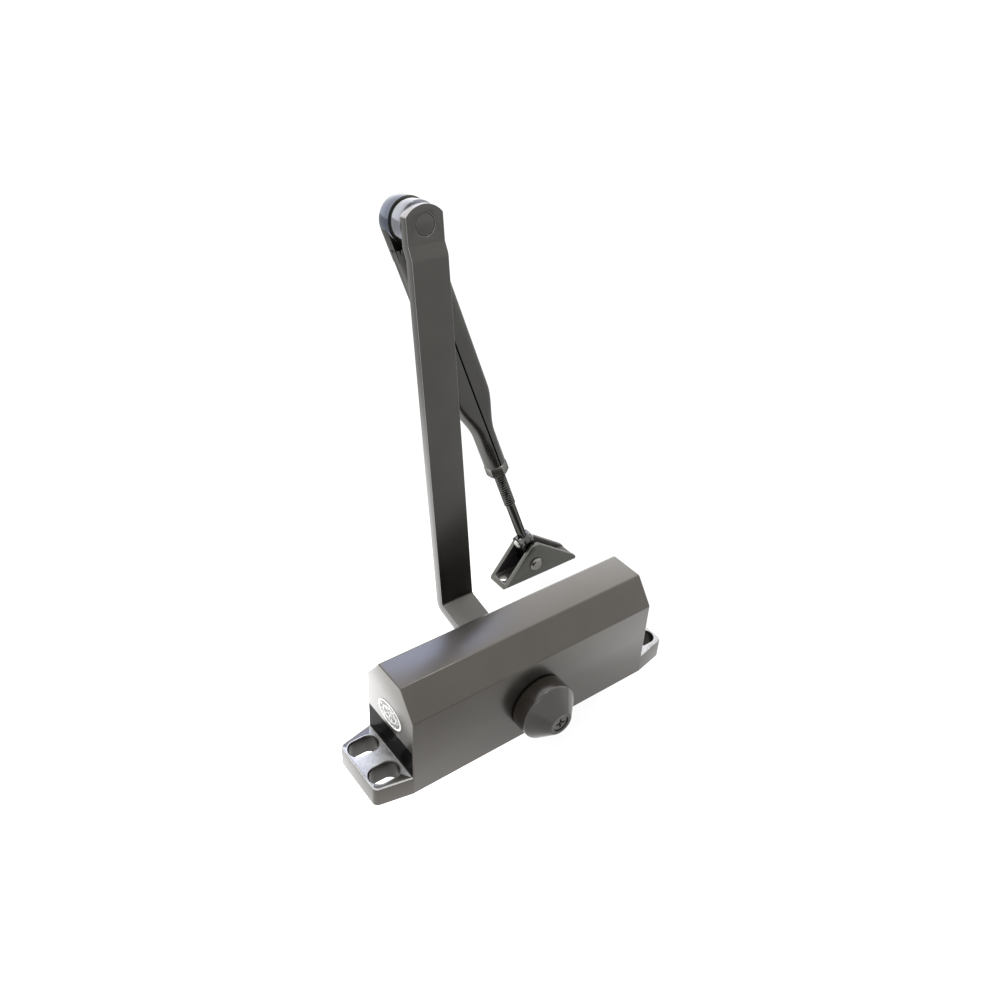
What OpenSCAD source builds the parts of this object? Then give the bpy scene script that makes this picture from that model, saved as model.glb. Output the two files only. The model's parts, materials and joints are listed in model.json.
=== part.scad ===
// Overhead door closer: rack and pinion body with a scissor arm, an adjustable forearm and a swivel shoe.
// Millimetres. X runs along the body, +Y is the arm side of the spindle, Z leaves the face it is screwed to.
// The origin is the middle of the four fixing slots, on the mounting face.

/* [Part] */
// which piece is drawn

/* [Body block] */
// length of the cast block, without its feet
body_len = 145; // [120:1:180]
// width of the block along the spindle
body_w = 40; // [33:0.5:50]
// height of the block off its mounting face
body_h = 60; // [56:0.5:75]
// how far the long top chamfers cut in from each side
chamfer_in = 10.4; // [6:0.1:13]
// how far the long top chamfers drop from the top
chamfer_drop = 13.7; // [8:0.1:18]
// radius along the long edges
edge_r = 1.6; // [0.5:0.1:3]

/* [Feet] */
// length of each foot beyond the block
foot_len = 18.5; // [17:0.5:24]
// thickness of the feet
foot_t = 10.9; // [7:0.1:13]
// width of a foot at its outer end
foot_end_w = 32.5; // [30:0.5:40]
// corner radius of a foot in plan
foot_r = 4; // [1:0.5:8]
// width of a fixing slot
slot_w = 9.6; // [6:0.1:11]
// end to end length of a fixing slot
slot_len = 15; // [10:0.1:15.4]
// distance between the two slots of one foot
slot_pitch = 19; // [14:0.1:21]

/* [Cylinder] */
// radius of the oil cylinder
bore_r = 14.5; // [13:0.1:16]
// height of the cylinder axis over the mounting face
bore_z = 33; // [31:0.1:36]
// thickness of the closed end of the cylinder
end_wall = 6; // [4:0.5:10]
// how much wider than the cylinder the end plug is, on the radius
plug_step = 1.5; // [1:0.1:2]
// length of the end plug
plug_len = 18; // [14:0.5:22]
// width across flats of the plug's hexagon socket
plug_hex = 12; // [8:0.5:14]
// thickness of a round sealing ring
ring_t = 1.8; // [1.2:0.1:2.4]

/* [Spindle] */
// height of the spindle axis over the mounting face
spindle_z = 19.5; // [18:0.1:22]
// radius of the spindle journals
shaft_r = 6.5; // [5.5:0.1:7]
// width across flats of the spindle's square ends
square_w = 10; // [8:0.1:11]
// number of pinion teeth
teeth = 12; // [11:1:13]
// tooth module of the pinion and rack
tooth_m = 1.2; // [1:0.05:1.3]
// clearance between one tooth and its gap
backlash = 0.2; // [0.1:0.05:0.4]
// radial wall of the bearing bushes
bearing_wall = 3.1; // [2.4:0.1:4]
// length of each bearing bush
bearing_len = 5.4; // [4:0.1:7]
// radius of the gland rings that hold the spindle in
gland_r = 11.5; // [10.5:0.1:12.5]
// depth of a gland ring inside the body
gland_len = 5.2; // [4:0.1:6]
// how far a gland ring stands out of the body
gland_out = 2; // [0.5:0.1:3]

/* [Piston and spring] */
// length of the solid piston head on the spring side
head_len = 15; // [12:0.5:20]
// length of the solid piston head on the plug side
tail_len = 15; // [12:0.5:20]
// spindle turn from the closed stop, in degrees
swing = 150; // [90:5:170]
// depth of the spring pocket in the piston head
pocket_len = 9; // [6:0.5:10]
// thickness of the spring wire
wire_d = 3.6; // [3:0.1:3.8]
// number of spring coils
coils = 6; // [5:0.5:7]
// radius of the non-return ball
ball_r = 2.4; // [2:0.1:3]

/* [Valves] */
// height of the two speed valves over the mounting face
valve_z = 54.4; // [54:0.1:60]
// distance between the two speed valves
valve_pitch = 11; // [9:0.1:14]
// radius of a speed valve
valve_r = 2.5; // [2:0.1:2.8]
// length of a speed valve
valve_len = 15; // [12:0.5:18]

/* [Spindle cap] */
// radius of the cap at its rim
cap_r = 15.6; // [14:0.1:18]
// height of the straight part of the cap
cap_rim_h = 9.1; // [7:0.1:12]
// height of the whole cap
cap_h = 18; // [16:0.1:22]
// radius of the cap's flat tip
cap_tip_r = 6.5; // [5.5:0.1:8]
// wall of the cap
cap_wall = 1.8; // [1.2:0.1:2.4]
// gap between the cap's rim and the body
cap_gap = 0.6; // [0.3:0.1:1.5]
// radius of the cap screw's head
cap_head_r = 4.3; // [3.5:0.1:5]
// radius of the cap screw's shank
cap_shank_r = 2; // [1.5:0.1:2.5]
// length of the square end that carries the cap
square_len = 7; // [5:0.5:9]

/* [Main arm] */
// width of the arm bar
arm_w = 19.6; // [17:0.1:24]
// thickness of the arm bar
arm_t = 5; // [4:0.1:6]
// height of the elbow over the spindle axis
arm_reach = 209; // [170:1:260]
// gap from the body to the arm's lug
lug_gap = 8; // [6:0.1:12]
// how far the crank carries the bar out from the lug
crank_out = 22.1; // [14:0.1:27]
// height over the spindle axis where the crank leaves the lug
crank_low = 10.6; // [10:0.1:14]
// rise of the crank itself
crank_rise = 5.2; // [3:0.1:12]
// slope of the bar away from the body's side, in degrees
arm_slope = 8.9; // [0:0.1:11]
// offset of the flat elbow end from the bar
joggle = 2.2; // [0:0.1:4]
// radius of the arm's bends on the inside
bend_r = 1.2; // [0.5:0.1:1.6]
// radius of the shank of the screw that holds the arm
arm_shank_r = 2.9; // [2:0.1:3.2]
// height of that screw's head
arm_head_h = 3.6; // [3:0.1:5]
// thickness of the washer under it
washer_t = 1.2; // [0.8:0.1:2]

/* [Elbow] */
// thickness of the spacer between the two arms
spacer_t = 11; // [7:0.1:14]
// radius of the spacer and of the forearm's end there
elbow_r = 11; // [8:0.1:12]
// radius of the curve that ends the arm over the elbow
arm_end_r = 12.5; // [10:0.1:16]
// height of that end over the elbow's axis
arm_end_up = 9; // [8.6:0.1:9.8]
// radius of the rivet's flush head
rivet_head_r = 5; // [4:0.1:6.5]
// radius of the rivet's shank
rivet_r = 3.6; // [2.5:0.1:4]

/* [Forearm] */
// angle of the forearm from the main arm at rest, in degrees
fold_angle = 17.65; // [5:0.05:40]
// distance from the elbow to the end of the forearm's tube
forearm_len = 143.5; // [130:0.5:180]
// width of the forearm's flat section
forearm_w = 23; // [17:0.1:24]
// depth of the forearm's flat section
forearm_d = 11; // [10:0.1:13]
// sheet thickness of the forearm
sheet_t = 2; // [1.6:0.1:2.3]
// thickness of the forearm's flat tongue
tongue_t = 5.6; // [4:0.1:7]
// distance from the elbow to where the sheet folds into a tube
fold_start = 13.5; // [13:0.5:30]
// distance from the elbow to where the tube starts to narrow
neck_start = 98; // [80:1:110]
// distance over which the tube narrows
neck_len = 26; // [15:1:32]
// outer radius of the round end of the forearm
tube_r = 6; // [5.2:0.1:7]
// width of the seam where the folded edges meet
seam_w = 0.7; // [0.3:0.1:1.5]

/* [Rod and lock nut] */
// radius of the rod over its thread
rod_r = 3.2; // [2.8:0.1:3.6]
// radius of the rod's plain shank
shank_r = 2.65; // [2:0.05:2.75]
// distance from the elbow to the rod's swivel rivet
rod_reach = 201.5; // [185:0.5:230]
// length of thread inside the forearm
rod_inside = 41.5; // [30:0.5:60]
// length of the thread that shows below the lock nut
thread_out = 24.5; // [14:0.5:30]
// width across flats of the lock nut
nut_af = 11; // [10:0.5:13]
// thickness of the lock nut
nut_t = 6.6; // [5:0.1:8]
// how far the lock nut is turned on the thread, in degrees
nut_turn = 30; // [0:5:55]

/* [Swivel] */
// radius of the rod's flattened eye
eye_r = 4.3; // [3.8:0.1:4.8]
// thickness of the rod's flattened eye
eye_t = 4.2; // [3:0.1:5]
// thickness of each clevis ear
ear_t = 2.2; // [1.6:0.1:3]
// distance between the two rivets of the swivel
swivel_len = 16; // [14:0.1:20]
// width of the swivel between the shoe's plates
swivel_w = 8.8; // [8:0.1:11]
// radius of the swivel's rivet
pin_r = 1.8; // [1.4:0.1:2.2]

/* [Shoe] */
// length of the shoe's base
shoe_len = 54; // [46:0.5:64]
// thickness of the shoe's sheet
shoe_t = 2.4; // [1.8:0.1:3]
// height of the shoe's plates
shoe_h = 24.3; // [22:0.1:30]
// height of the shoe's rivet over its base face
shoe_pin_h = 9.8; // [9:0.1:12]
// clearance between the swivel and each plate
shoe_gap = 0.5; // [0.3:0.05:0.8]
// radius of the shoe's screw holes
shoe_hole_r = 2.3; // [1.8:0.1:2.6]
// distance between the shoe's screw holes
shoe_pitch = 45; // [38:0.5:50]
// radius of the shoe rivet
shoe_rivet_r = 2.6; // [2:0.1:3]

/* [Label] */
// width of the plain oval label
label_w = 20; // [12:0.5:28]
// height of the plain oval label
label_h = 13; // [8:0.5:20]
// thickness of the label
label_t = 0.25; // [0.1:0.05:0.5]
// height of the label's middle over the cylinder axis
label_up = 2.5; // [-6:0.5:6]

/* [Hidden] */
$fn = 72;
fit = 0.05;
gap = 0.3;
over = 1;
half_w = body_w / 2;
half_len = body_len / 2;
total_len = body_len + 2 * foot_len;
slot_x = half_len + foot_len / 2;
slot_y = slot_pitch / 2;
top_flat = half_w - chamfer_in;
// gear
pressure = 25;
pitch_r = teeth * tooth_m / 2;
base_r = pitch_r * cos(pressure);
addendum = 0.9 * tooth_m;
dedendum = 1.25 * tooth_m;
tip_r = pitch_r + addendum;
root_r = pitch_r - dedendum;
tooth_half = (PI * tooth_m - backlash) / 4;
stroke = pitch_r * swing * PI / 180;
// spindle stack
bearing_r = max(shaft_r + fit + bearing_wall, tip_r + 0.6);
bearing_out = half_w - gland_len - 0.2;
bearing_in = bearing_out - bearing_len;
pinion_half = bearing_in - 0.4;
spindle_bore_r = tip_r + 0.5;
seal_r = shaft_r + 3;
seal_len = 3;
clear_r = max(gland_r, bearing_r) + 0.6;
lug_y = half_w + lug_gap;
square_in = half_w + gland_out + 2;
square_front = square_in + square_len;
square_out = lug_y + arm_t - 0.5;
tapped_len = 14;
cap_y = -(half_w + cap_gap);
head_sink = 2;
washer_r = crank_low - 0.8 * (arm_t + bend_r) - 0.1;
valve_ring_t = 1;
// piston
cut_left = -clear_r;
cut_right = stroke + clear_r;
piston_left = cut_left - head_len;
piston_right = cut_right + tail_len;
rack_tip_z = spindle_z + pitch_r - addendum;
rack_root_z = spindle_z + pitch_r + dedendum;
piston_r = bore_r - fit;
bore_end = -half_len + end_wall;
plug_in = half_len - plug_len;
plug_r = bore_r + plug_step;
pocket_wall = 2.8;
pocket_r = bore_r - pocket_wall;
spring_r = pocket_r - 0.5 - wire_d / 2;
spring_a = bore_end + gap;
spring_b = piston_left + pocket_len - gap;
spring_run = spring_b - spring_a - wire_d;
ball_seat_r = ball_r - 0.8;
ball_room_r = ball_r + 0.15;
ball_z = bore_z + bore_r / 3;
ball_x = piston_right - 5.6;
retainer_t = 2;
// elbow frame
slope_y = sin(arm_slope);
slope_z = cos(arm_slope);
fold_y = lug_y + crank_out;
fold_z = spindle_z + crank_low + crank_rise;
bar_len = (arm_reach - crank_low - crank_rise + joggle * slope_y) / slope_z;
elbow_y = fold_y + bar_len * slope_y + joggle * slope_z;
elbow_z = fold_z + bar_len * slope_z - joggle * slope_y;
joggle_len = 5.5;
joggle_end = elbow_r - 2.4;
head_t = 2;
fold_mouth = fold_start + 6;
tongue_y = arm_t + spacer_t;
mid_y = tongue_y + tongue_t / 2;
nut_s = forearm_len + fit;
rod_start = forearm_len - rod_inside;
thread_end = nut_s + nut_t + thread_out;
flat_len = eye_r + 2.8;
// swivel frame: the rivet's place and the direction of its axis
dir = [sin(fold_angle), -cos(fold_angle) * slope_y, -cos(fold_angle) * slope_z];
eye_pos = [0, elbow_y + mid_y * slope_z, elbow_z - mid_y * slope_y] + rod_reach * dir;
swivel_a = atan2(dir[0], -dir[2]);
tilt_a = asin(-dir[1]);
pin_pos = eye_pos + swivel_len * [sin(swivel_a), 0, -cos(swivel_a)];
ear_r = eye_r + 0.6;
ear_in = eye_t / 2 + fit;
shoe_mid = eye_pos[1];
shoe_in = swivel_w / 2 + shoe_gap;
shoe_out = shoe_in + shoe_t;
shoe_z = pin_pos[2] - shoe_pin_h;
pin_share = 0.42;
shoe_x0 = pin_pos[0] - pin_share * shoe_len;

// unit vector from one point towards another
function unit(v) = v / norm(v);
// points of one rounded corner
function corner(a, b, c, r, n) =
  r <= 0 ? [b] :
  let (u = unit(a - b), w = unit(c - b), h = acos(max(-1, min(1, u * w))) / 2,
       m = b + unit(u + w) * r / sin(h), t = r / tan(h),
       p = b + u * t - m, q = b + w * t - m,
       a0 = atan2(p[1], p[0]), d = atan2(q[1], q[0]) - a0,
       s = d > 180 ? d - 360 : d < -180 ? d + 360 : d)
  [for (i = [0 : n]) m + r * [cos(a0 + s * i / n), sin(a0 + s * i / n)]];
// a polygon's points with each corner rounded by its own radius
function rounded(pts, rs, n = 6) =
  let (k = len(pts))
  [for (i = [0 : k - 1]) each corner(pts[(i + k - 1) % k], pts[i], pts[(i + 1) % k], rs[i], n)];
// the outline of a strip of one thickness whose first face follows a path
function strip_back(path, t) =
  let (k = len(path))
  [for (i = [0 : k - 1])
    let (d1 = i > 0 ? unit(path[i] - path[i - 1]) : unit(path[1] - path[0]),
         d2 = i < k - 1 ? unit(path[i + 1] - path[i]) : d1,
         n1 = [d1[1], -d1[0]], n2 = [d2[1], -d2[0]])
    path[i] + (n1 + n2) * t / (1 + n1 * n2)];
function turned(list) = [for (i = [len(list) - 1 : -1 : 0]) list[i]];
// involute helper
function inv(a) = tan(a) * 180 / PI - a;

module on_spindle(y) { translate([0, y, spindle_z]) rotate([-90, 0, 0]) children(); }
module along_x(x, y = 0, z = bore_z) { translate([x, y, z]) rotate([0, 90, 0]) children(); }
module side_extrude(w) { rotate([90, 0, 90]) linear_extrude(w, center = true) children(); }
module ring(r_out, r_in, h) {
  difference() { cylinder(r = r_out, h = h); translate([0, 0, -over]) cylinder(r = r_in, h = h + 2 * over); }
}
module o_ring(r_in, t) { rotate_extrude() translate([r_in, 0]) square([t, t]); }
// a slot along X with round ends
module slot(len, w, h) {
  translate([-(len - w) / 2, -w / 2, 0]) cube([len - w, w, h]);
  for (s = [-1, 1]) translate([s * (len - w) / 2, 0, 0]) cylinder(d = w, h = h);
}
module cross_recess(size, depth) {
  for (a = [0, 90]) rotate([0, 0, a])
    translate([-size / 2, -size / 10, -depth]) cube([size, size / 5, depth + over]);
  translate([0, 0, -depth]) cylinder(r1 = size / 10, r2 = size / 4, h = depth + 0.01);
}
// frames of the moving arms
module elbow_frame() { translate([0, elbow_y, elbow_z]) rotate([-arm_slope, 0, 0]) children(); }
module along_elbow(y) { translate([0, y, 0]) rotate([-90, 0, 0]) children(); }
module forearm_frame() { elbow_frame() translate([0, mid_y, 0]) rotate([0, 180 - fold_angle, 0]) children(); }
// local Z runs up the swivel, local X along its rivet
module swivel_frame() { translate(eye_pos) rotate([0, -swivel_a, 0]) children(); }
// local Z runs down the rod, local X along the rivet of the eye
module rod_frame() { swivel_frame() rotate([180 - tilt_a, 0, 0]) children(); }

module body_shell() {
  side_extrude(body_len)
    polygon(rounded([[-half_w, 0], [half_w, 0], [half_w, body_h - chamfer_drop], [top_flat, body_h],
                     [-top_flat, body_h], [-half_w, body_h - chamfer_drop]],
                    [0, 0, edge_r, edge_r, edge_r, edge_r]));
  linear_extrude(foot_t)
    polygon(rounded([[-total_len / 2, -foot_end_w / 2], [-half_len, -half_w], [half_len, -half_w],
                     [total_len / 2, -foot_end_w / 2], [total_len / 2, foot_end_w / 2],
                     [half_len, half_w], [-half_len, half_w], [-total_len / 2, foot_end_w / 2]],
                    [foot_r, 0, 0, foot_r, foot_r, 0, 0, foot_r]));
}
// a valve's seat, its oil way, and the two ports down to the cylinder
module valve_drilling(side, port_x) {
  y = side * valve_pitch / 2;
  port_z = bore_z + bore_r / 2;
  along_x(half_len - valve_len - 3, y, valve_z) cylinder(r = valve_r + fit, h = valve_len + 4);
  along_x(port_x, y, valve_z) cylinder(r = valve_r / 2, h = half_len - port_x - 5);
  for (x = [port_x + valve_r / 2 + 0.2, plug_in - 2])
    translate([x, y, port_z]) cylinder(r = valve_r / 2, h = valve_z - port_z);
}
module body_casting() {
  color([0.34, 0.33, 0.31]) difference() {
    body_shell();
    for (sx = [-1, 1], sy = [-1, 1])
      translate([sx * slot_x, sy * slot_y, -over]) slot(slot_len, slot_w, foot_t + 2 * over);
    along_x(bore_end) cylinder(r = bore_r, h = body_len);
    along_x(plug_in) cylinder(r = plug_r + fit, h = body_len);
    on_spindle(-half_w - over) cylinder(r = spindle_bore_r, h = body_w + 2 * over);
    for (m = [0, 1]) mirror([0, m, 0]) {
      on_spindle(bearing_in - gap) cylinder(r = bearing_r + fit, h = half_w);
      on_spindle(bearing_out + gap / 2) cylinder(r = gland_r + fit, h = half_w);
    }
    valve_drilling(-1, stroke / 2);
    valve_drilling(1, stroke);
  }
}
module end_plug() {
  groove = ring_t + 0.1;
  color([0.62, 0.62, 0.6]) difference() {
    along_x(plug_in) cylinder(r = plug_r, h = plug_len);
    along_x(half_len - plug_len / 2) cylinder(d = plug_hex / cos(30), h = plug_len, $fn = 6);
    along_x(plug_in - over) cylinder(r = plug_r - 5, h = over + plug_len / 4);
    along_x(plug_in + plug_len / 6) ring(plug_r + over, plug_r - ring_t - fit, groove);
  }
}
module plug_seal() {
  color([0.1, 0.1, 0.1]) along_x(plug_in + plug_len / 6 + fit) o_ring(plug_r - ring_t, ring_t);
}
module speed_valve(side) {
  y = side * valve_pitch / 2;
  color([0.75, 0.68, 0.42]) difference() {
    along_x(half_len - valve_len - 0.5, y, valve_z) union() {
      cylinder(r1 = 0.4, r2 = valve_r / 2, h = valve_len / 4);
      translate([0, 0, valve_len / 4]) cylinder(r = valve_r, h = valve_len * 0.75);
    }
    along_x(half_len - valve_len / 2, y, valve_z)
      ring(valve_r + over, valve_r - valve_ring_t, valve_ring_t + 0.2);
    translate([half_len - 1.7, y - valve_r - over, valve_z - 0.4])
      cube([valve_r, 2 * valve_r + 2 * over, 0.8]);
  }
}
module valve_ring(side) {
  color([0.1, 0.1, 0.1]) along_x(half_len - valve_len / 2 + 0.1, side * valve_pitch / 2, valve_z)
    o_ring(valve_r - valve_ring_t + 0.02, valve_ring_t);
}
module closing_valve() { speed_valve(-1); }
module closing_valve_seal() { valve_ring(-1); }
module latching_valve() { speed_valve(1); }
module latching_valve_seal() { valve_ring(1); }

module bearing() {
  color([0.7, 0.7, 0.72]) on_spindle(bearing_in) ring(bearing_r, shaft_r + fit, bearing_len);
}
module rear_bearing() { bearing(); }
module front_bearing() { mirror([0, 1, 0]) bearing(); }
module gland() {
  color([0.5, 0.5, 0.5]) difference() {
    on_spindle(bearing_out + 0.2) ring(gland_r, shaft_r + gap, gland_len + gland_out);
    on_spindle(bearing_out) cylinder(r = seal_r + fit, h = seal_len + gap);
    for (s = [-1, 1]) translate([s * (gland_r + shaft_r) / 2, 0, 0])
      on_spindle(half_w + gland_out - 2) cylinder(r = 1.1, h = 3);
  }
}
module rear_gland() { gland(); }
module front_gland() { mirror([0, 1, 0]) gland(); }
module seal() {
  color([0.12, 0.12, 0.12]) on_spindle(bearing_out + 0.2) ring(seal_r, shaft_r + fit, seal_len);
}
module rear_seal() { seal(); }
module front_seal() { mirror([0, 1, 0]) seal(); }

// one flank of an involute tooth, from the root to the tip
function flank(n = 7) =
  let (half = tooth_half / pitch_r * 180 / PI + inv(pressure))
  [for (i = [0 : n])
    let (r = max(base_r, root_r) + (tip_r - max(base_r, root_r)) * i / n,
         a = half - inv(acos(min(1, base_r / r))))
    r * [cos(a), sin(a)]];
function tooth() =
  let (f = flank(), foot = [root_r * cos(atan2(f[0][1], f[0][0])), root_r * sin(atan2(f[0][1], f[0][0]))])
  concat([[foot[0], -foot[1]]], [for (p = f) [p[0], -p[1]]], turned(f), [foot]);
module pinion_spindle() {
  color([0.66, 0.66, 0.68]) difference() {
    union() {
      on_spindle(-pinion_half) linear_extrude(2 * pinion_half) {
        circle(r = root_r + 0.01);
        for (i = [0 : teeth - 1]) rotate(i * 360 / teeth + 90 + 180 / teeth) polygon(tooth());
      }
      on_spindle(-square_in) cylinder(r = shaft_r, h = square_in - pinion_half);
      on_spindle(pinion_half) cylinder(r = shaft_r, h = square_in - pinion_half);
      intersection() {
        on_spindle(-square_front) cylinder(r = shaft_r, h = square_front + square_out);
        translate([-square_w / 2, -square_front, spindle_z - square_w / 2])
          cube([square_w, square_front + square_out, square_w]);
      }
    }
    on_spindle(-square_front - over) cylinder(r = cap_shank_r + fit, h = tapped_len + over);
    on_spindle(square_out - tapped_len) cylinder(r = arm_shank_r + fit, h = tapped_len + over);
  }
}
module rack_teeth() {
  // gaps between rack teeth, open towards the pinion
  n0 = floor(cut_left / (PI * tooth_m));
  n1 = ceil(cut_right / (PI * tooth_m));
  pitch = PI * tooth_m;
  flare = tan(pressure);
  for (i = [n0 : n1])
    translate([i * pitch + pitch / 2, 0, spindle_z + pitch_r]) rotate([90, 0, 0])
      linear_extrude(body_w, center = true)
        polygon([[-(pitch / 2 - tooth_half) - flare * (addendum + over), -addendum - over],
                 [(pitch / 2 - tooth_half) + flare * (addendum + over), -addendum - over],
                 [(pitch / 2 - tooth_half) - flare * dedendum, dedendum],
                 [-(pitch / 2 - tooth_half) + flare * dedendum, dedendum]]);
}
module rack_piston() {
  low = bore_z - bore_r - over;
  cut = cut_right - cut_left;
  wing_z = spindle_z + clear_r;
  color([0.56, 0.57, 0.6]) difference() {
    along_x(piston_left) cylinder(r = piston_r, h = piston_right - piston_left);
    along_x(piston_left - over) cylinder(r = pocket_r, h = pocket_len + over);
    translate([cut_left, -bore_r - over, low]) cube([cut, 2 * bore_r + 2 * over, rack_tip_z - low]);
    for (m = [0, 1]) mirror([0, m, 0])
      translate([cut_left, pinion_half, low]) cube([cut, bore_r, wing_z - low]);
    intersection() {
      rack_teeth();
      translate([cut_left, -body_w, low]) cube([cut, 2 * body_w, body_h]);
    }
    along_x(cut_right - over, 0, ball_z) cylinder(r = ball_seat_r, h = tail_len + 2 * over);
    along_x(ball_x - ball_r, 0, ball_z) cylinder(r = ball_room_r, h = tail_len);
  }
}
module check_ball() { color([0.8, 0.8, 0.82]) translate([ball_x, 0, ball_z]) sphere(r = ball_r); }
module ball_retainer() {
  color([0.72, 0.62, 0.38]) along_x(piston_right - retainer_t - 0.2, 0, ball_z)
    ring(ball_room_r - fit / 2, ball_r / 2, retainer_t);
}
// how far the wire has risen along X after t coils: the end coils lie nearly flat on their seats
function coil_rise(t) =
  t < 1 ? t * wire_d
  : t > coils - 1 ? spring_run - (coils - t) * wire_d
  : wire_d + (spring_run - 2 * wire_d) * (t - 1) / (coils - 2);
// round wire swept along a helix on X
function ring_point(a, x, tilt) =
  let (r = spring_r + wire_d / 2 * cos(tilt))
  [x + wire_d / 2 * sin(tilt), r * cos(a), bore_z + r * sin(a)];
module return_spring() {
  steps = 30;
  sides = 10;
  n = round(coils * steps);
  x0 = spring_a + wire_d / 2;
  pts = [for (i = [0 : n], j = [0 : sides - 1])
    ring_point(360 * i / steps, x0 + coil_rise(i / steps), 360 * j / sides)];
  quads = [for (i = [0 : n - 1], j = [0 : sides - 1])
    [i * sides + j, i * sides + (j + 1) % sides, (i + 1) * sides + (j + 1) % sides, (i + 1) * sides + j]];
  first = [[for (j = [sides - 1 : -1 : 0]) j]];
  last = [[for (j = [0 : sides - 1]) n * sides + j]];
  color([0.45, 0.46, 0.5]) polyhedron(pts, concat(quads, first, last));
}

module spindle_cap() {
  socket_h = square_front + cap_y;
  boss_h = square_in + cap_y + 0.5;
  boss_r = shaft_r + 2.5;
  tip_in = cap_h - cap_wall - head_sink;
  color([0.33, 0.3, 0.28]) mirror([0, 1, 0]) difference() {
    on_spindle(-cap_y) rotate_extrude()
      polygon(concat([[0, boss_h], [boss_r, boss_h], [boss_r, tip_in - boss_r + cap_tip_r],
                      [cap_r - cap_wall, cap_rim_h - 0.6], [cap_r - cap_wall, 0], [cap_r, 0]],
                     corner([cap_r, 0], [cap_r, cap_rim_h], [cap_tip_r, cap_h], 1.2, 4),
                     corner([cap_r, cap_rim_h], [cap_tip_r, cap_h], [0, cap_h], 0.8, 4), [[0, cap_h]]));
    intersection() {
      on_spindle(-cap_y) cylinder(r = shaft_r + fit, h = socket_h + fit);
      translate([-square_w / 2 - fit, -cap_y, spindle_z - square_w / 2 - fit])
        cube([square_w + 2 * fit, socket_h + fit, square_w + 2 * fit]);
    }
    on_spindle(-cap_y) cylinder(r = cap_shank_r + 0.4, h = cap_h + over);
    on_spindle(-cap_y + cap_h - head_sink) cylinder(r = cap_head_r + 0.2, h = head_sink + over);
  }
}
module cap_screw() {
  seat = cap_h - cap_y - head_sink;
  tip = square_front - tapped_len + over;
  head_h = head_sink - 0.5;
  color([0.6, 0.6, 0.6]) mirror([0, 1, 0]) difference() {
    union() {
      on_spindle(seat) cylinder(r = cap_head_r, h = head_h);
      on_spindle(tip) cylinder(r = cap_shank_r, h = seat - tip + fit);
    }
    on_spindle(seat + head_h) cross_recess(cap_head_r * 1.3, head_h - 0.3);
  }
}

module main_arm() {
  p3 = bar_len - joggle_end - joggle_len;
  up = [slope_y, slope_z];
  out = [slope_z, -slope_y];
  fold = [fold_y, fold_z];
  path = [[lug_y, spindle_z - arm_w], [lug_y, spindle_z + crank_low], fold, fold + up * p3,
          fold + up * (p3 + joggle_len) + out * joggle, fold + up * (bar_len + arm_w) + out * joggle];
  radii = [0, arm_t + bend_r, bend_r, bend_r, arm_t + bend_r, 0];
  color([0.32, 0.31, 0.29]) difference() {
    intersection() {
      side_extrude(arm_w)
        polygon(rounded(concat(path, turned(strip_back(path, arm_t))),
                        concat(radii, [0, bend_r, arm_t + bend_r, arm_t + bend_r, bend_r, 0])));
      union() {
        on_spindle(0) cylinder(r = arm_w / 2, h = elbow_y + arm_w);
        translate([-arm_w, 0, spindle_z]) cube([2 * arm_w, elbow_y + arm_w, crank_low + crank_rise]);
        translate([0, fold_y, fold_z]) rotate([-arm_slope, 0, 0])
          translate([-arm_w, -arm_w, -arm_t]) cube([2 * arm_w, 2 * arm_w, bar_len + arm_t]);
        elbow_frame() translate([0, 0, arm_end_up - arm_end_r])
          along_elbow(-over) cylinder(r = arm_end_r, h = arm_t + 2 * over);
      }
    }
    translate([-square_w / 2 - fit, lug_y - over, spindle_z - square_w / 2 - fit])
      cube([square_w + 2 * fit, arm_t + 2 * over, square_w + 2 * fit]);
    elbow_frame() along_elbow(-over) cylinder(r = rivet_r + fit, h = arm_t + 2 * over);
    elbow_frame() along_elbow(-over) cylinder(r = rivet_head_r + fit, h = over + head_t);
  }
}
module arm_washer() {
  color([0.62, 0.62, 0.64]) on_spindle(lug_y + arm_t) ring(washer_r, arm_shank_r + gap, washer_t);
}
module arm_screw() {
  seat = lug_y + arm_t + washer_t;
  shank = tapped_len - over;
  color([0.58, 0.58, 0.6]) difference() {
    on_spindle(seat) union() {
      cylinder(r = washer_r - 0.4, h = arm_head_h);
      translate([0, 0, -shank]) cylinder(r = arm_shank_r, h = shank + fit);
    }
    on_spindle(seat + arm_head_h) cross_recess(2 * arm_shank_r, 0.6 * arm_head_h);
  }
}
module elbow_rivet() {
  color([0.4, 0.39, 0.37]) elbow_frame() {
    along_elbow(0) cylinder(r = rivet_head_r, h = head_t - fit);
    along_elbow(fit) cylinder(r = rivet_r, h = tongue_y + tongue_t + gap);
    along_elbow(tongue_y + tongue_t + 0.1)
      cylinder(r1 = rivet_head_r + 0.8, r2 = rivet_head_r - 0.6, h = head_t);
  }
}
module elbow_spacer() {
  color([0.7, 0.72, 0.75]) elbow_frame()
    along_elbow(arm_t + fit) ring(elbow_r, rivet_r + fit, spacer_t - 3 * fit);
}

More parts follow.
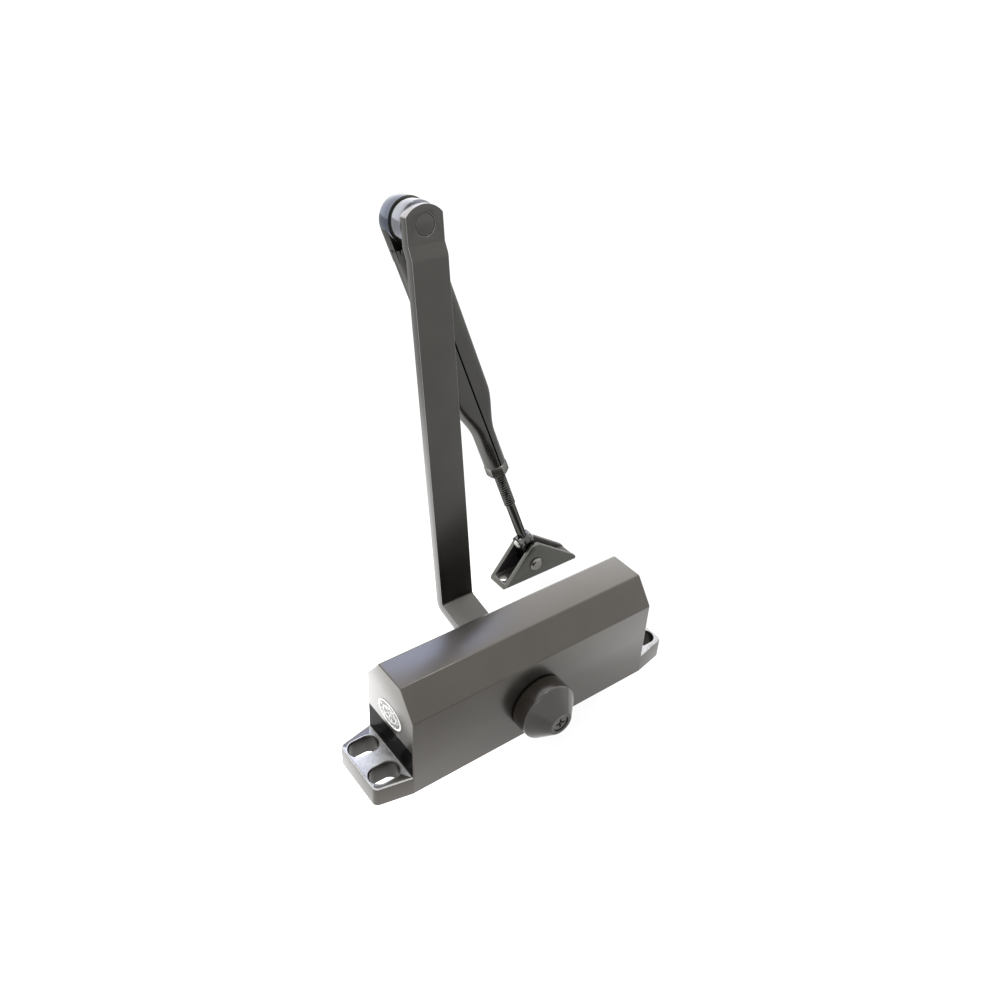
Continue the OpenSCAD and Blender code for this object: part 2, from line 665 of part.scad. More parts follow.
// cross-section of the forearm's folded part, shrunk by an inset
module fold_section(inset) {
  d = forearm_d - 2 * inset;
  square([forearm_w - forearm_d, d], center = true);
  for (s = [-1, 1]) translate([s * (forearm_w - forearm_d) / 2, 0]) circle(d = d);
}
module fold_tube(inset) {
  slice = 0.02;
  translate([0, 0, fold_start]) linear_extrude(neck_start - fold_start) fold_section(inset);
  hull() {
    translate([0, 0, neck_start - slice]) linear_extrude(slice) fold_section(inset, $fn = 32);
    translate([0, 0, neck_start + neck_len]) cylinder(r = tube_r - inset, h = slice, $fn = 32);
  }
  translate([0, 0, neck_start + neck_len])
    cylinder(r = tube_r - inset, h = forearm_len - neck_start - neck_len);
}
module forearm() {
  color([0.38, 0.38, 0.37]) forearm_frame() difference() {
    union() {
      rotate([90, 0, 0]) cylinder(r = elbow_r, h = tongue_t, center = true);
      translate([-elbow_r, -tongue_t / 2, 0]) cube([2 * elbow_r, tongue_t, fold_mouth]);
      difference() {
        fold_tube(0);
        translate([0, 0, fold_mouth]) linear_extrude(neck_start - fold_mouth) fold_section(sheet_t);
        translate([0, 0, neck_start - over]) linear_extrude(neck_len + 2 * over) circle(r = rod_r + 0.4);
        translate([-forearm_w / 2 + sheet_t, sheet_t - forearm_d / 2 - 0.8, fold_start - over])
          cube([forearm_w - 2 * sheet_t, forearm_d / 2 - sheet_t + 0.4,
                fold_mouth - fold_start + 1.1 + over]);
      }
    }
    rotate([90, 0, 0]) cylinder(r = rivet_r + fit, h = forearm_d + over, center = true);
    translate([0, 0, neck_start]) cylinder(r = rod_r + fit, h = forearm_len);
    translate([-seam_w / 2, -forearm_d, fold_mouth]) cube([seam_w, forearm_d, forearm_len]);
  }
}
module lock_nut() {
  color([0.5, 0.5, 0.5]) forearm_frame() translate([0, 0, nut_s]) rotate([0, 0, nut_turn]) intersection() {
    difference() {
      cylinder(d = nut_af / cos(30), h = nut_t, $fn = 6);
      translate([0, 0, -over]) cylinder(r = rod_r + fit, h = nut_t + 2 * over);
    }
    union() {
      cylinder(r1 = nut_af / 2, r2 = nut_af / 2 + nut_t, h = nut_t / 2);
      translate([0, 0, nut_t / 2]) cylinder(r1 = nut_af / 2 + nut_t, r2 = nut_af / 2, h = nut_t / 2);
    }
  }
}
module adjusting_rod() {
  back = rod_reach - rod_start;
  color([0.36, 0.36, 0.36]) rod_frame() difference() {
    union() {
      translate([0, 0, -back]) cylinder(r = rod_r, h = thread_end - rod_start);
      translate([0, 0, thread_end - rod_reach - fit])
        cylinder(r = shank_r, h = rod_reach - thread_end - flat_len + 2);
      translate([-eye_t / 2, -shank_r, -flat_len]) cube([eye_t, 2 * shank_r, flat_len]);
      rotate([0, 90, 0]) cylinder(r = eye_r, h = eye_t, center = true);
    }
    rotate([0, 90, 0]) cylinder(r = pin_r + fit, h = eye_t + 2 * over, center = true);
  }
}
module swivel_clevis() {
  floor_z = -eye_r - 1.4;
  width = 2 * (ear_in + ear_t);
  color([0.55, 0.56, 0.57]) swivel_frame() difference() {
    union() {
      for (s = [-1, 1]) translate([s * (ear_in + ear_t / 2), 0, 0]) {
        rotate([0, 90, 0]) cylinder(r = swivel_w / 2, h = ear_t, center = true);
        translate([-ear_t / 2, -swivel_w / 2, -swivel_len]) cube([ear_t, swivel_w, swivel_len]);
      }
      translate([-width / 2, -swivel_w / 2, -swivel_len]) cube([width, swivel_w, swivel_len + floor_z]);
      translate([0, 0, -swivel_len]) rotate([90, 0, 0]) cylinder(r = width / 2, h = swivel_w, center = true);
    }
    rotate([0, 90, 0]) cylinder(r = pin_r + fit, h = width + 2 * over, center = true);
    translate([0, 0, -swivel_len]) rotate([90, 0, 0])
      cylinder(r = shoe_rivet_r + fit, h = swivel_w + 2 * over, center = true);
  }
}
module swivel_rivet() {
  reach = ear_in + ear_t;
  color([0.72, 0.72, 0.73]) swivel_frame() rotate([0, 90, 0]) {
    cylinder(r = pin_r, h = 2 * reach + 1, center = true);
    for (m = [0, 1]) mirror([0, 0, m])
      translate([0, 0, reach + fit]) cylinder(r1 = pin_r + 1.2, r2 = pin_r + 0.2, h = 1.3);
  }
}
module shoe_plate() {
  peak = pin_share * shoe_len;
  polygon(rounded([[0, 0], [shoe_len, 0], [shoe_len - 0.6, shoe_t + 1], [peak + 1, shoe_h],
                   [peak - 4, shoe_h]], [0.8, 1.2, 1.6, 1.6, 1.6]));
}
module shoe_bracket() {
  color([0.42, 0.43, 0.42]) translate([shoe_x0, shoe_mid, shoe_z]) difference() {
    intersection() {
      rotate([90, 0, 0]) linear_extrude(2 * shoe_out, center = true) shoe_plate();
      union() {
        for (m = [0, 1]) mirror([0, m, 0])
          translate([-over, shoe_in, 0]) cube([shoe_len + 2 * over, shoe_t, 2 * shoe_h]);
        translate([-over, -shoe_out, 0]) cube([shoe_len + 2 * over, 2 * shoe_out, shoe_t]);
      }
    }
    for (s = [-1, 1]) translate([(shoe_len + s * shoe_pitch) / 2, 0, -over])
      cylinder(r = shoe_hole_r, h = shoe_t + 2 * over);
    translate([pin_share * shoe_len, 0, shoe_pin_h]) rotate([90, 0, 0])
      cylinder(r = shoe_rivet_r + fit, h = 3 * shoe_out, center = true);
  }
}
module shoe_rivet() {
  color([0.45, 0.45, 0.44]) translate([pin_pos[0], shoe_mid, pin_pos[2]]) rotate([90, 0, 0]) {
    cylinder(r = shoe_rivet_r, h = 2 * shoe_out + 1, center = true);
    for (m = [0, 1]) mirror([0, 0, m]) translate([0, 0, shoe_out + fit])
      cylinder(r1 = shoe_rivet_r + 2, r2 = shoe_rivet_r + 0.6, h = 1.4);
  }
}
module end_label() {
  points = [for (i = [0 : 47]) [label_w / 2 * cos(i * 7.5), label_h / 2 * sin(i * 7.5)]];
  color([0.86, 0.86, 0.84]) translate([-half_len - label_t / 2, 0, bore_z + label_up])
    side_extrude(label_t) polygon(points);
}

body_casting();
end_plug();
plug_seal();
closing_valve();
closing_valve_seal();
latching_valve();
latching_valve_seal();
front_bearing();
rear_bearing();
front_gland();
rear_gland();
front_seal();
rear_seal();
pinion_spindle();
rack_piston();
check_ball();
ball_retainer();
return_spring();
spindle_cap();
cap_screw();
main_arm();
arm_washer();
arm_screw();
elbow_rivet();
elbow_spacer();
forearm();
lock_nut();
adjusting_rod();
swivel_clevis();
swivel_rivet();
shoe_bracket();
shoe_rivet();
end_label();
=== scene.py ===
"""Overhead door closer: looks, light and camera built around the packed closer."""

import json
import logging
import math
from abc import ABC, abstractmethod
from collections.abc import Callable, Iterator, Sequence
from contextlib import contextmanager
from dataclasses import dataclass, field
from enum import Enum

import bmesh
import bpy
from mathutils import Matrix, Vector


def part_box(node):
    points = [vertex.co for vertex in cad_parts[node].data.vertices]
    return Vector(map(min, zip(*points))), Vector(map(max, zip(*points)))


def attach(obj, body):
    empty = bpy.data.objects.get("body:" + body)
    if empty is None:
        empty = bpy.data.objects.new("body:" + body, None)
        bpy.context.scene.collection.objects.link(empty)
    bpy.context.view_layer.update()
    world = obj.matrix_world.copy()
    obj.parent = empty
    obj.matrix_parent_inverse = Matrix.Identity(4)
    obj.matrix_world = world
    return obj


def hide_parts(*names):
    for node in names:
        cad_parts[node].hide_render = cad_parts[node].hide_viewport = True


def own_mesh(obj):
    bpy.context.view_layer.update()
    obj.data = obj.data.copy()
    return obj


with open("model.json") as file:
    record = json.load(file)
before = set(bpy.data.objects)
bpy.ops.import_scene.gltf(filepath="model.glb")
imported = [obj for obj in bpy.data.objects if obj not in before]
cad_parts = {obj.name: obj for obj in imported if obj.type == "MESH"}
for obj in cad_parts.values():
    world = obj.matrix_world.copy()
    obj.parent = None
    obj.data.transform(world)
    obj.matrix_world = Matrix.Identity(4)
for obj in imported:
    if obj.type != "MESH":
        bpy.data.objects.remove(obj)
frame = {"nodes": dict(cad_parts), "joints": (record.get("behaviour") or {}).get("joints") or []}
MM = 0.001
LOG = logging.getLogger("closer")
NOISE_SPAN = (0.3, 0.7)  # where nearly all of a noise pattern's values lie
FINE_SHARE = 0.35  # share of the fine grain in a metal's colour; clouds make up the rest
CLOUD_WAVES = 45.0  # waves per metre of the clouds in a metal's colour
MARK_WAVES = 90.0  # waves per metre of handling marks
PIT_SHARE, PIT_DEPTH = 0.33, 1.6  # waves and depth of casting pits, as shares of the grain's

Colour = tuple[float, float, float]
Point = tuple[float, float, float]
Test = Callable[[Vector, Vector], bool]


class Grain(Enum):
    """The surface patterns that a finish can carry."""

    CAST = "cast"
    ROLLED = "rolled"
    TURNED = "turned"
    MOULDED = "moulded"


# scale of the grain along its axis and across it
GRAIN_STRETCH = {
    Grain.CAST: (1.0, 1.0), Grain.ROLLED: (0.06, 1.0), Grain.TURNED: (1.0, 0.05), Grain.MOULDED: (1.0, 1.0)
}


# --------------------------------------------------------------------------------------
# Finishes
# --------------------------------------------------------------------------------------
class Recipe:
    """A material under construction: its node tree and its main shader."""

    def __init__(self, name: str) -> None:
        """Starts an empty material.

        Args:
            name: The material's name.
        """
        self.material: bpy.types.Material = bpy.data.materials.new(name)
        self.material.use_nodes = True
        self.tree: bpy.types.NodeTree = self.material.node_tree
        self.shader: bpy.types.Node = self.tree.nodes["Principled BSDF"]

    def node(self, kind: str, **settings: object) -> bpy.types.Node:
        """Adds a node and sets its own properties.

        Args:
            kind: The node's type, such as "ShaderNodeTexNoise".
            **settings: Properties of the node.

        Returns:
            The new node.
        """
        made = self.tree.nodes.new(kind)
        for key, value in settings.items():
            setattr(made, key, value)
        return made

    def link(self, source: bpy.types.NodeSocket, target: bpy.types.NodeSocket) -> None:
        """Joins two sockets."""
        self.tree.links.new(source, target)

    def place(self, stretch: Point = (1.0, 1.0, 1.0)) -> bpy.types.NodeSocket:
        """Object coordinates, stretched for a pattern.

        Args:
            stretch: Scale along each axis.

        Returns:
            The vector socket.
        """
        coordinates = self.node("ShaderNodeTexCoord")
        mapping = self.node("ShaderNodeMapping")
        mapping.inputs["Scale"].default_value = stretch
        self.link(coordinates.outputs["Object"], mapping.inputs["Vector"])
        return mapping.outputs["Vector"]

    def noise(
        self, at: bpy.types.NodeSocket, scale: float, detail: float = 4.0, rough: float = 0.55
    ) -> bpy.types.NodeSocket:
        """A noise pattern.

        Args:
            at: Where it is read.
            scale: Its scale in waves per metre.
            detail: How many octaves it has.
            rough: How strong the finer octaves are.

        Returns:
            Its value socket.
        """
        made = self.node("ShaderNodeTexNoise")
        made.inputs["Scale"].default_value = scale
        made.inputs["Detail"].default_value = detail
        made.inputs["Roughness"].default_value = rough
        self.link(at, made.inputs["Vector"])
        return made.outputs["Fac"]

    def ramp(
        self, value: bpy.types.NodeSocket, stops: Sequence[tuple[float, Colour]]
    ) -> bpy.types.NodeSocket:
        """Colours a value.

        Args:
            value: The socket that picks the colour.
            stops: Positions and their colours.

        Returns:
            The colour socket.
        """
        made = self.node("ShaderNodeValToRGB")
        entries = made.color_ramp.elements
        while len(entries) < len(stops):
            entries.new(0.5)
        for entry, (position, colour) in zip(entries, stops):
            entry.position = position
            entry.color = (*colour, 1.0)
        self.link(value, made.inputs["Fac"])
        return made.outputs["Color"]

    def span(self, value: bpy.types.NodeSocket, low: float, high: float) -> bpy.types.NodeSocket:
        """Maps the middle of a noise value onto a range.

        Args:
            value: A value around one half.
            low: Result at the low end of the noise.
            high: Result at its high end.

        Returns:
            The mapped value.
        """
        made = self.node("ShaderNodeMapRange")
        made.inputs["From Min"].default_value, made.inputs["From Max"].default_value = NOISE_SPAN
        made.inputs["To Min"].default_value = low
        made.inputs["To Max"].default_value = high
        self.link(value, made.inputs["Value"])
        return made.outputs["Result"]

    def bump(self, height: bpy.types.NodeSocket, depth: float, strength: float = 1.0) -> None:
        """Adds relief to the shader, over any that is already there.

        Args:
            height: The height pattern, from 0 to 1.
            depth: Its full depth in metres.
            strength: How much of it shows.
        """
        made = self.node("ShaderNodeBump")
        made.inputs["Distance"].default_value = depth
        made.inputs["Strength"].default_value = strength
        self.link(height, made.inputs["Height"])
        held = self.shader.inputs["Normal"].links
        if held:
            self.link(held[0].from_socket, made.inputs["Normal"])
        self.link(made.outputs["Normal"], self.shader.inputs["Normal"])


class Finish(ABC):
    """One surface finish. Its material is made once and shared."""

    name: str
    _made: dict[str, bpy.types.Material] = {}

    @abstractmethod
    def mix(self, recipe: Recipe) -> None:
        """Fills in the recipe."""

    def material(self) -> bpy.types.Material:
        """The finish's material, made when it is first asked for."""
        if self.name not in Finish._made:
            recipe = Recipe(self.name)
            self.mix(recipe)
            Finish._made[self.name] = recipe.material
        return Finish._made[self.name]


@dataclass(frozen=True)
class MetalFinish(Finish):
    """Paint, plating or bare metal: a metallic sheen over a grain.

    Attributes:
        name: Name of the material.
        colour: Its middle colour.
        shift: How far the colour strays, as a share of it.
        metallic: Share of metal in the sheen.
        gloss: Lowest and highest roughness.
        grain: The relief it carries.
        grain_size: Size of the grain in millimetres.
        grain_depth: Depth of the grain in millimetres.
        axis: Direction of a rolled or turned grain.
        tint: Colour of faint stains, if it has them.
        coat: Weight and roughness of the clear coat.
        rim: Tint of the metal's reflection at grazing angles.
    """

    name: str
    colour: Colour
    shift: float = 0.12
    metallic: float = 0.85
    gloss: tuple[float, float] = (0.34, 0.44)
    grain: Grain = Grain.CAST
    grain_size: float = 0.5
    grain_depth: float = 0.012
    axis: Point = (1.0, 0.0, 0.0)
    tint: Colour | None = None
    coat: tuple[float, float] = (0.0, 0.3)
    rim: Colour = (1.0, 1.0, 1.0)

    def mix(self, recipe: Recipe) -> None:
        """Fills in the recipe with colour drift, varied gloss and the grain."""
        shader = recipe.shader
        shader.inputs["Metallic"].default_value = self.metallic
        weight, dullness = self.coat
        shader.inputs["Coat Weight"].default_value = weight
        shader.inputs["Coat Roughness"].default_value = dullness
        shader.inputs["Specular Tint"].default_value = (*self.rim, 1.0)
        waves = 1 / MM / self.grain_size
        along, across = GRAIN_STRETCH[self.grain]
        stretch = tuple(along if abs(part) > 0.5 else across for part in self.axis)
        fine = recipe.noise(recipe.place(stretch), waves, 3.0, 0.6)
        cloud = recipe.noise(recipe.place(), CLOUD_WAVES, 3.0, 0.5)
        blend = recipe.node("ShaderNodeMath", operation="MULTIPLY_ADD")
        blend.inputs[1].default_value = FINE_SHARE
        recipe.link(fine, blend.inputs[0])
        share = recipe.node("ShaderNodeMath", operation="MULTIPLY")
        share.inputs[1].default_value = 1 - FINE_SHARE
        recipe.link(cloud, share.inputs[0])
        recipe.link(share.outputs[0], blend.inputs[2])
        dark = tuple(part * (1 - self.shift) for part in self.colour)
        light = tuple(min(1.0, part * (1 + self.shift)) for part in self.colour)
        low, high = NOISE_SPAN
        stops = [(low, dark), (high, light)]
        if self.tint is not None:
            stops = [(low, self.tint), (0.42, dark), (high, light)]
        recipe.link(recipe.ramp(blend.outputs[0], stops), shader.inputs["Base Color"])
        recipe.link(recipe.span(blend.outputs[0], *self.gloss), shader.inputs["Roughness"])
        recipe.bump(fine, self.grain_depth * MM)
        if self.grain is Grain.CAST:
            pits = recipe.noise(recipe.place(), waves * PIT_SHARE, 2.0, 0.5)
            recipe.bump(pits, self.grain_depth * PIT_DEPTH * MM, 0.6)


@dataclass(frozen=True)
class SoftFinish(Finish):
    """Plastic or rubber with a fine moulded skin.

    Attributes:
        name: Name of the material.
        colour: Its middle colour.
        gloss: Lowest and highest roughness.
        sheen_level: Strength of its plain reflection.
        shift: How far the colour strays, as a share of it.
        grain_size: Size of the skin's grain in millimetres.
        grain_depth: Depth of that grain in millimetres.
    """

    name: str
    colour: Colour
    gloss: tuple[float, float] = (0.36, 0.48)
    sheen_level: float = 0.6
    shift: float = 0.15
    grain_size: float = 0.35
    grain_depth: float = 0.01

    def mix(self, recipe: Recipe) -> None:
        """Fills in the recipe with a leathery skin and slight handling marks."""
        shader = recipe.shader
        shader.inputs["Specular IOR Level"].default_value = self.sheen_level
        skin = recipe.noise(recipe.place(), 1 / MM / self.grain_size, 4.0, 0.6)
        marks = recipe.noise(recipe.place(), MARK_WAVES, 5.0, 0.6)
        low, high = NOISE_SPAN
        dark = tuple(part * (1 - self.shift) for part in self.colour)
        light = tuple(part * (1 + self.shift) for part in self.colour)
        recipe.link(recipe.ramp(marks, [(low, dark), (high, light)]), shader.inputs["Base Color"])
        recipe.link(recipe.span(marks, *self.gloss), shader.inputs["Roughness"])
        recipe.bump(skin, self.grain_depth * MM)


@dataclass(frozen=True)
class LabelFinish(Finish):
    """A pale film with a plain guilloche of rings and dots, and no lettering.

    Attributes:
        name: Name of the material.
        ground: Colour of the film.
        print_colour: Colour of its pattern.
        centre: Middle of the label in metres.
        width: Width of the label in metres.
        height: Height of the label in metres.
        dots: Dots per metre.
        skin: Waves per metre of the film's grain.
        gloss: Its roughness.
    """

    name: str
    ground: Colour
    print_colour: Colour
    centre: Point
    width: float
    height: float
    dots: float = 780.0
    skin: float = 900.0
    gloss: float = 0.38

    def mix(self, recipe: Recipe) -> None:
        """Fills in the recipe with rings that follow the oval and a band of dots."""
        shader = recipe.shader
        coordinates = recipe.node("ShaderNodeTexCoord")
        mapping = recipe.node("ShaderNodeMapping", vector_type="TEXTURE")
        mapping.inputs["Location"].default_value = self.centre
        mapping.inputs["Scale"].default_value = (1.0, self.width / 2, self.height / 2)
        recipe.link(coordinates.outputs["Object"], mapping.inputs["Vector"])
        flat = recipe.node("ShaderNodeVectorMath", operation="MULTIPLY")
        flat.inputs[1].default_value = (0.0, 1.0, 1.0)
        recipe.link(mapping.outputs["Vector"], flat.inputs[0])
        length = recipe.node("ShaderNodeVectorMath", operation="LENGTH")
        recipe.link(flat.outputs["Vector"], length.inputs[0])
        rings = recipe.ramp(
            length.outputs["Value"],
            [(0.0, self.print_colour), (0.5, self.print_colour), (0.52, self.ground), (0.58, self.ground),
             (0.6, self.print_colour), (0.86, self.print_colour), (0.88, self.ground)],
        )
        dots = recipe.node("ShaderNodeTexVoronoi", feature="F1")
        dots.inputs["Scale"].default_value = self.dots
        recipe.link(coordinates.outputs["Object"], dots.inputs["Vector"])
        spots = recipe.ramp(dots.outputs["Distance"], [(0.34, self.ground), (0.42, (0.0, 0.0, 0.0))])
        mixed = recipe.node("ShaderNodeMix", data_type="RGBA", blend_type="LIGHTEN")
        mixed.inputs["Factor"].default_value = 1.0
        recipe.link(rings, mixed.inputs[6])
        recipe.link(spots, mixed.inputs[7])
        recipe.link(mixed.outputs[2], shader.inputs["Base Color"])
        shader.inputs["Roughness"].default_value = self.gloss
        recipe.bump(recipe.noise(recipe.place(), self.skin), 0.01 * MM)


BODY_PAINT = MetalFinish(
    "body_paint", (0.045, 0.039, 0.032), metallic=0.92, gloss=(0.3, 0.38), coat=(0.75, 0.22)
)
FOOT_CAST = MetalFinish(
    "foot_cast", (0.34, 0.34, 0.345), shift=0.6, metallic=0.8, gloss=(0.3, 0.6),
    grain_size=1.3, grain_depth=0.13,
)
RIM_WEAR = MetalFinish("slot_rim", (0.34, 0.33, 0.32), metallic=1.0, gloss=(0.25, 0.4), grain_size=0.6)
SLOT_WALL = MetalFinish(
    "slot_wall", (0.04, 0.038, 0.036), metallic=0.9, gloss=(0.28, 0.4), grain_size=0.8, grain_depth=0.02
)
EDGE_RUB = MetalFinish("rubbed_edge", (0.2, 0.19, 0.175), shift=0.2, gloss=(0.3, 0.38))
# Painted reflection: a dark, nearly unreflective finish for the left end's lower band, standing for the
# dark reflection of the foot there.
PAINTED_FOOT_REFLECTION = MetalFinish(
    "painted_foot_reflection", (0.02, 0.019, 0.0185), metallic=0.92, gloss=(0.3, 0.38),
    coat=(0.1, 0.22), rim=(0.0, 0.0, 0.0),
)
# Painted reflection: a lighter bluish steel for the tongue's rim, standing for the bluish sky reflected in
# it; its brownish patches are temper tint.
PAINTED_SKY_RIM = MetalFinish(
    "painted_sky_rim", (0.085, 0.095, 0.12), metallic=1.0, gloss=(0.14, 0.22), grain=Grain.TURNED,
    grain_size=0.5, grain_depth=0.002, axis=(0, 1, 0), tint=(0.06, 0.05, 0.05),
)
MACHINED = MetalFinish(
    "machined_bore", (0.5, 0.5, 0.5), metallic=1.0, gloss=(0.22, 0.34), grain=Grain.TURNED, grain_size=0.3
)
ARM_PAINT = MetalFinish(
    "arm_paint", (0.034, 0.032, 0.028), metallic=0.92, gloss=(0.3, 0.38), grain_size=0.4, grain_depth=0.006,
    coat=(0.7, 0.22),
)
# Painted highlight: a light grey for the arm's rounded edges and the curve over the elbow, standing for the
# sky's reflection along them.
ARM_EDGE_HIGHLIGHT = MetalFinish(
    "arm_edge_highlight", (0.24, 0.235, 0.235), shift=0.2, gloss=(0.28, 0.36), grain=Grain.ROLLED, axis=(0, 0, 1)
)
TUBE_STEEL = MetalFinish(
    "forearm_steel", (0.05, 0.049, 0.045), metallic=0.95, gloss=(0.22, 0.3), grain=Grain.ROLLED,
    grain_size=0.5, grain_depth=0.002, axis=(0, 0, 1), coat=(0.35, 0.2), rim=(0.5, 0.5, 0.5),
)
SPACER_STEEL = MetalFinish(
    "spacer_steel", (0.2, 0.205, 0.23), metallic=1.0, gloss=(0.12, 0.2), grain=Grain.TURNED,
    grain_size=0.5, grain_depth=0.002, axis=(0, 1, 0), tint=(0.07, 0.05, 0.042),
)
ROD_STEEL = MetalFinish(
    "rod_steel", (0.075, 0.075, 0.07), metallic=1.0, gloss=(0.2, 0.28), grain_size=0.3, grain_depth=0.003,
    rim=(0.08, 0.08, 0.08),
)
NUT_STEEL = MetalFinish(
    "nut_steel", (0.2, 0.195, 0.185), metallic=1.0, gloss=(0.18, 0.28), grain_size=0.4, grain_depth=0.006,
    rim=(0.35, 0.35, 0.35),
)
SHOE_STEEL = MetalFinish(
    "shoe_steel", (0.072, 0.072, 0.064), metallic=0.95, gloss=(0.28, 0.36), grain=Grain.ROLLED,
    grain_size=0.5, grain_depth=0.004, coat=(0.3, 0.22), rim=(0.5, 0.5, 0.5),
)
SHOE_INNER = MetalFinish(
    "shoe_inner", (0.07, 0.065, 0.063), metallic=0.8, gloss=(0.3, 0.4), grain_depth=0.006
)
SWIVEL_STEEL = MetalFinish(
    "swivel_steel", (0.11, 0.11, 0.108), metallic=1.0, gloss=(0.16, 0.26),
    grain_size=0.5, grain_depth=0.004, rim=(0.3, 0.3, 0.3),
)
ZINC = MetalFinish(
    "zinc_plate", (0.4, 0.4, 0.39), metallic=1.0, gloss=(0.22, 0.36), grain_size=0.6, grain_depth=0.008
)
BRIGHT_STEEL = MetalFinish(
    "bright_steel", (0.5, 0.5, 0.51), metallic=1.0, gloss=(0.16, 0.28), grain=Grain.TURNED,
    grain_size=0.3, grain_depth=0.005, axis=(0, 1, 0),
)
ALUMINIUM = MetalFinish(
    "turned_aluminium", (0.55, 0.55, 0.54), metallic=1.0, gloss=(0.24, 0.36), grain=Grain.TURNED,
    grain_size=0.3, grain_depth=0.006,
)
BRASS = MetalFinish(
    "turned_brass", (0.55, 0.42, 0.18), metallic=1.0, gloss=(0.2, 0.32), grain=Grain.TURNED,
    grain_size=0.3, grain_depth=0.005,
)
SPRING_STEEL = MetalFinish(
    "spring_steel", (0.2, 0.21, 0.24), metallic=1.0, gloss=(0.28, 0.4), grain_size=0.3, grain_depth=0.006
)
CAP_SCREW = SoftFinish(
    "blacked_screw", (0.013, 0.011, 0.009), gloss=(0.22, 0.3), sheen_level=0.7, grain_depth=0.002
)
CAP_PLASTIC = SoftFinish(
    "cap_plastic", (0.012, 0.0095, 0.007), gloss=(0.17, 0.25), sheen_level=0.62, grain_depth=0.004
)
RUBBER = SoftFinish("nitrile_rubber", (0.015, 0.015, 0.015), gloss=(0.5, 0.65), sheen_level=0.4)


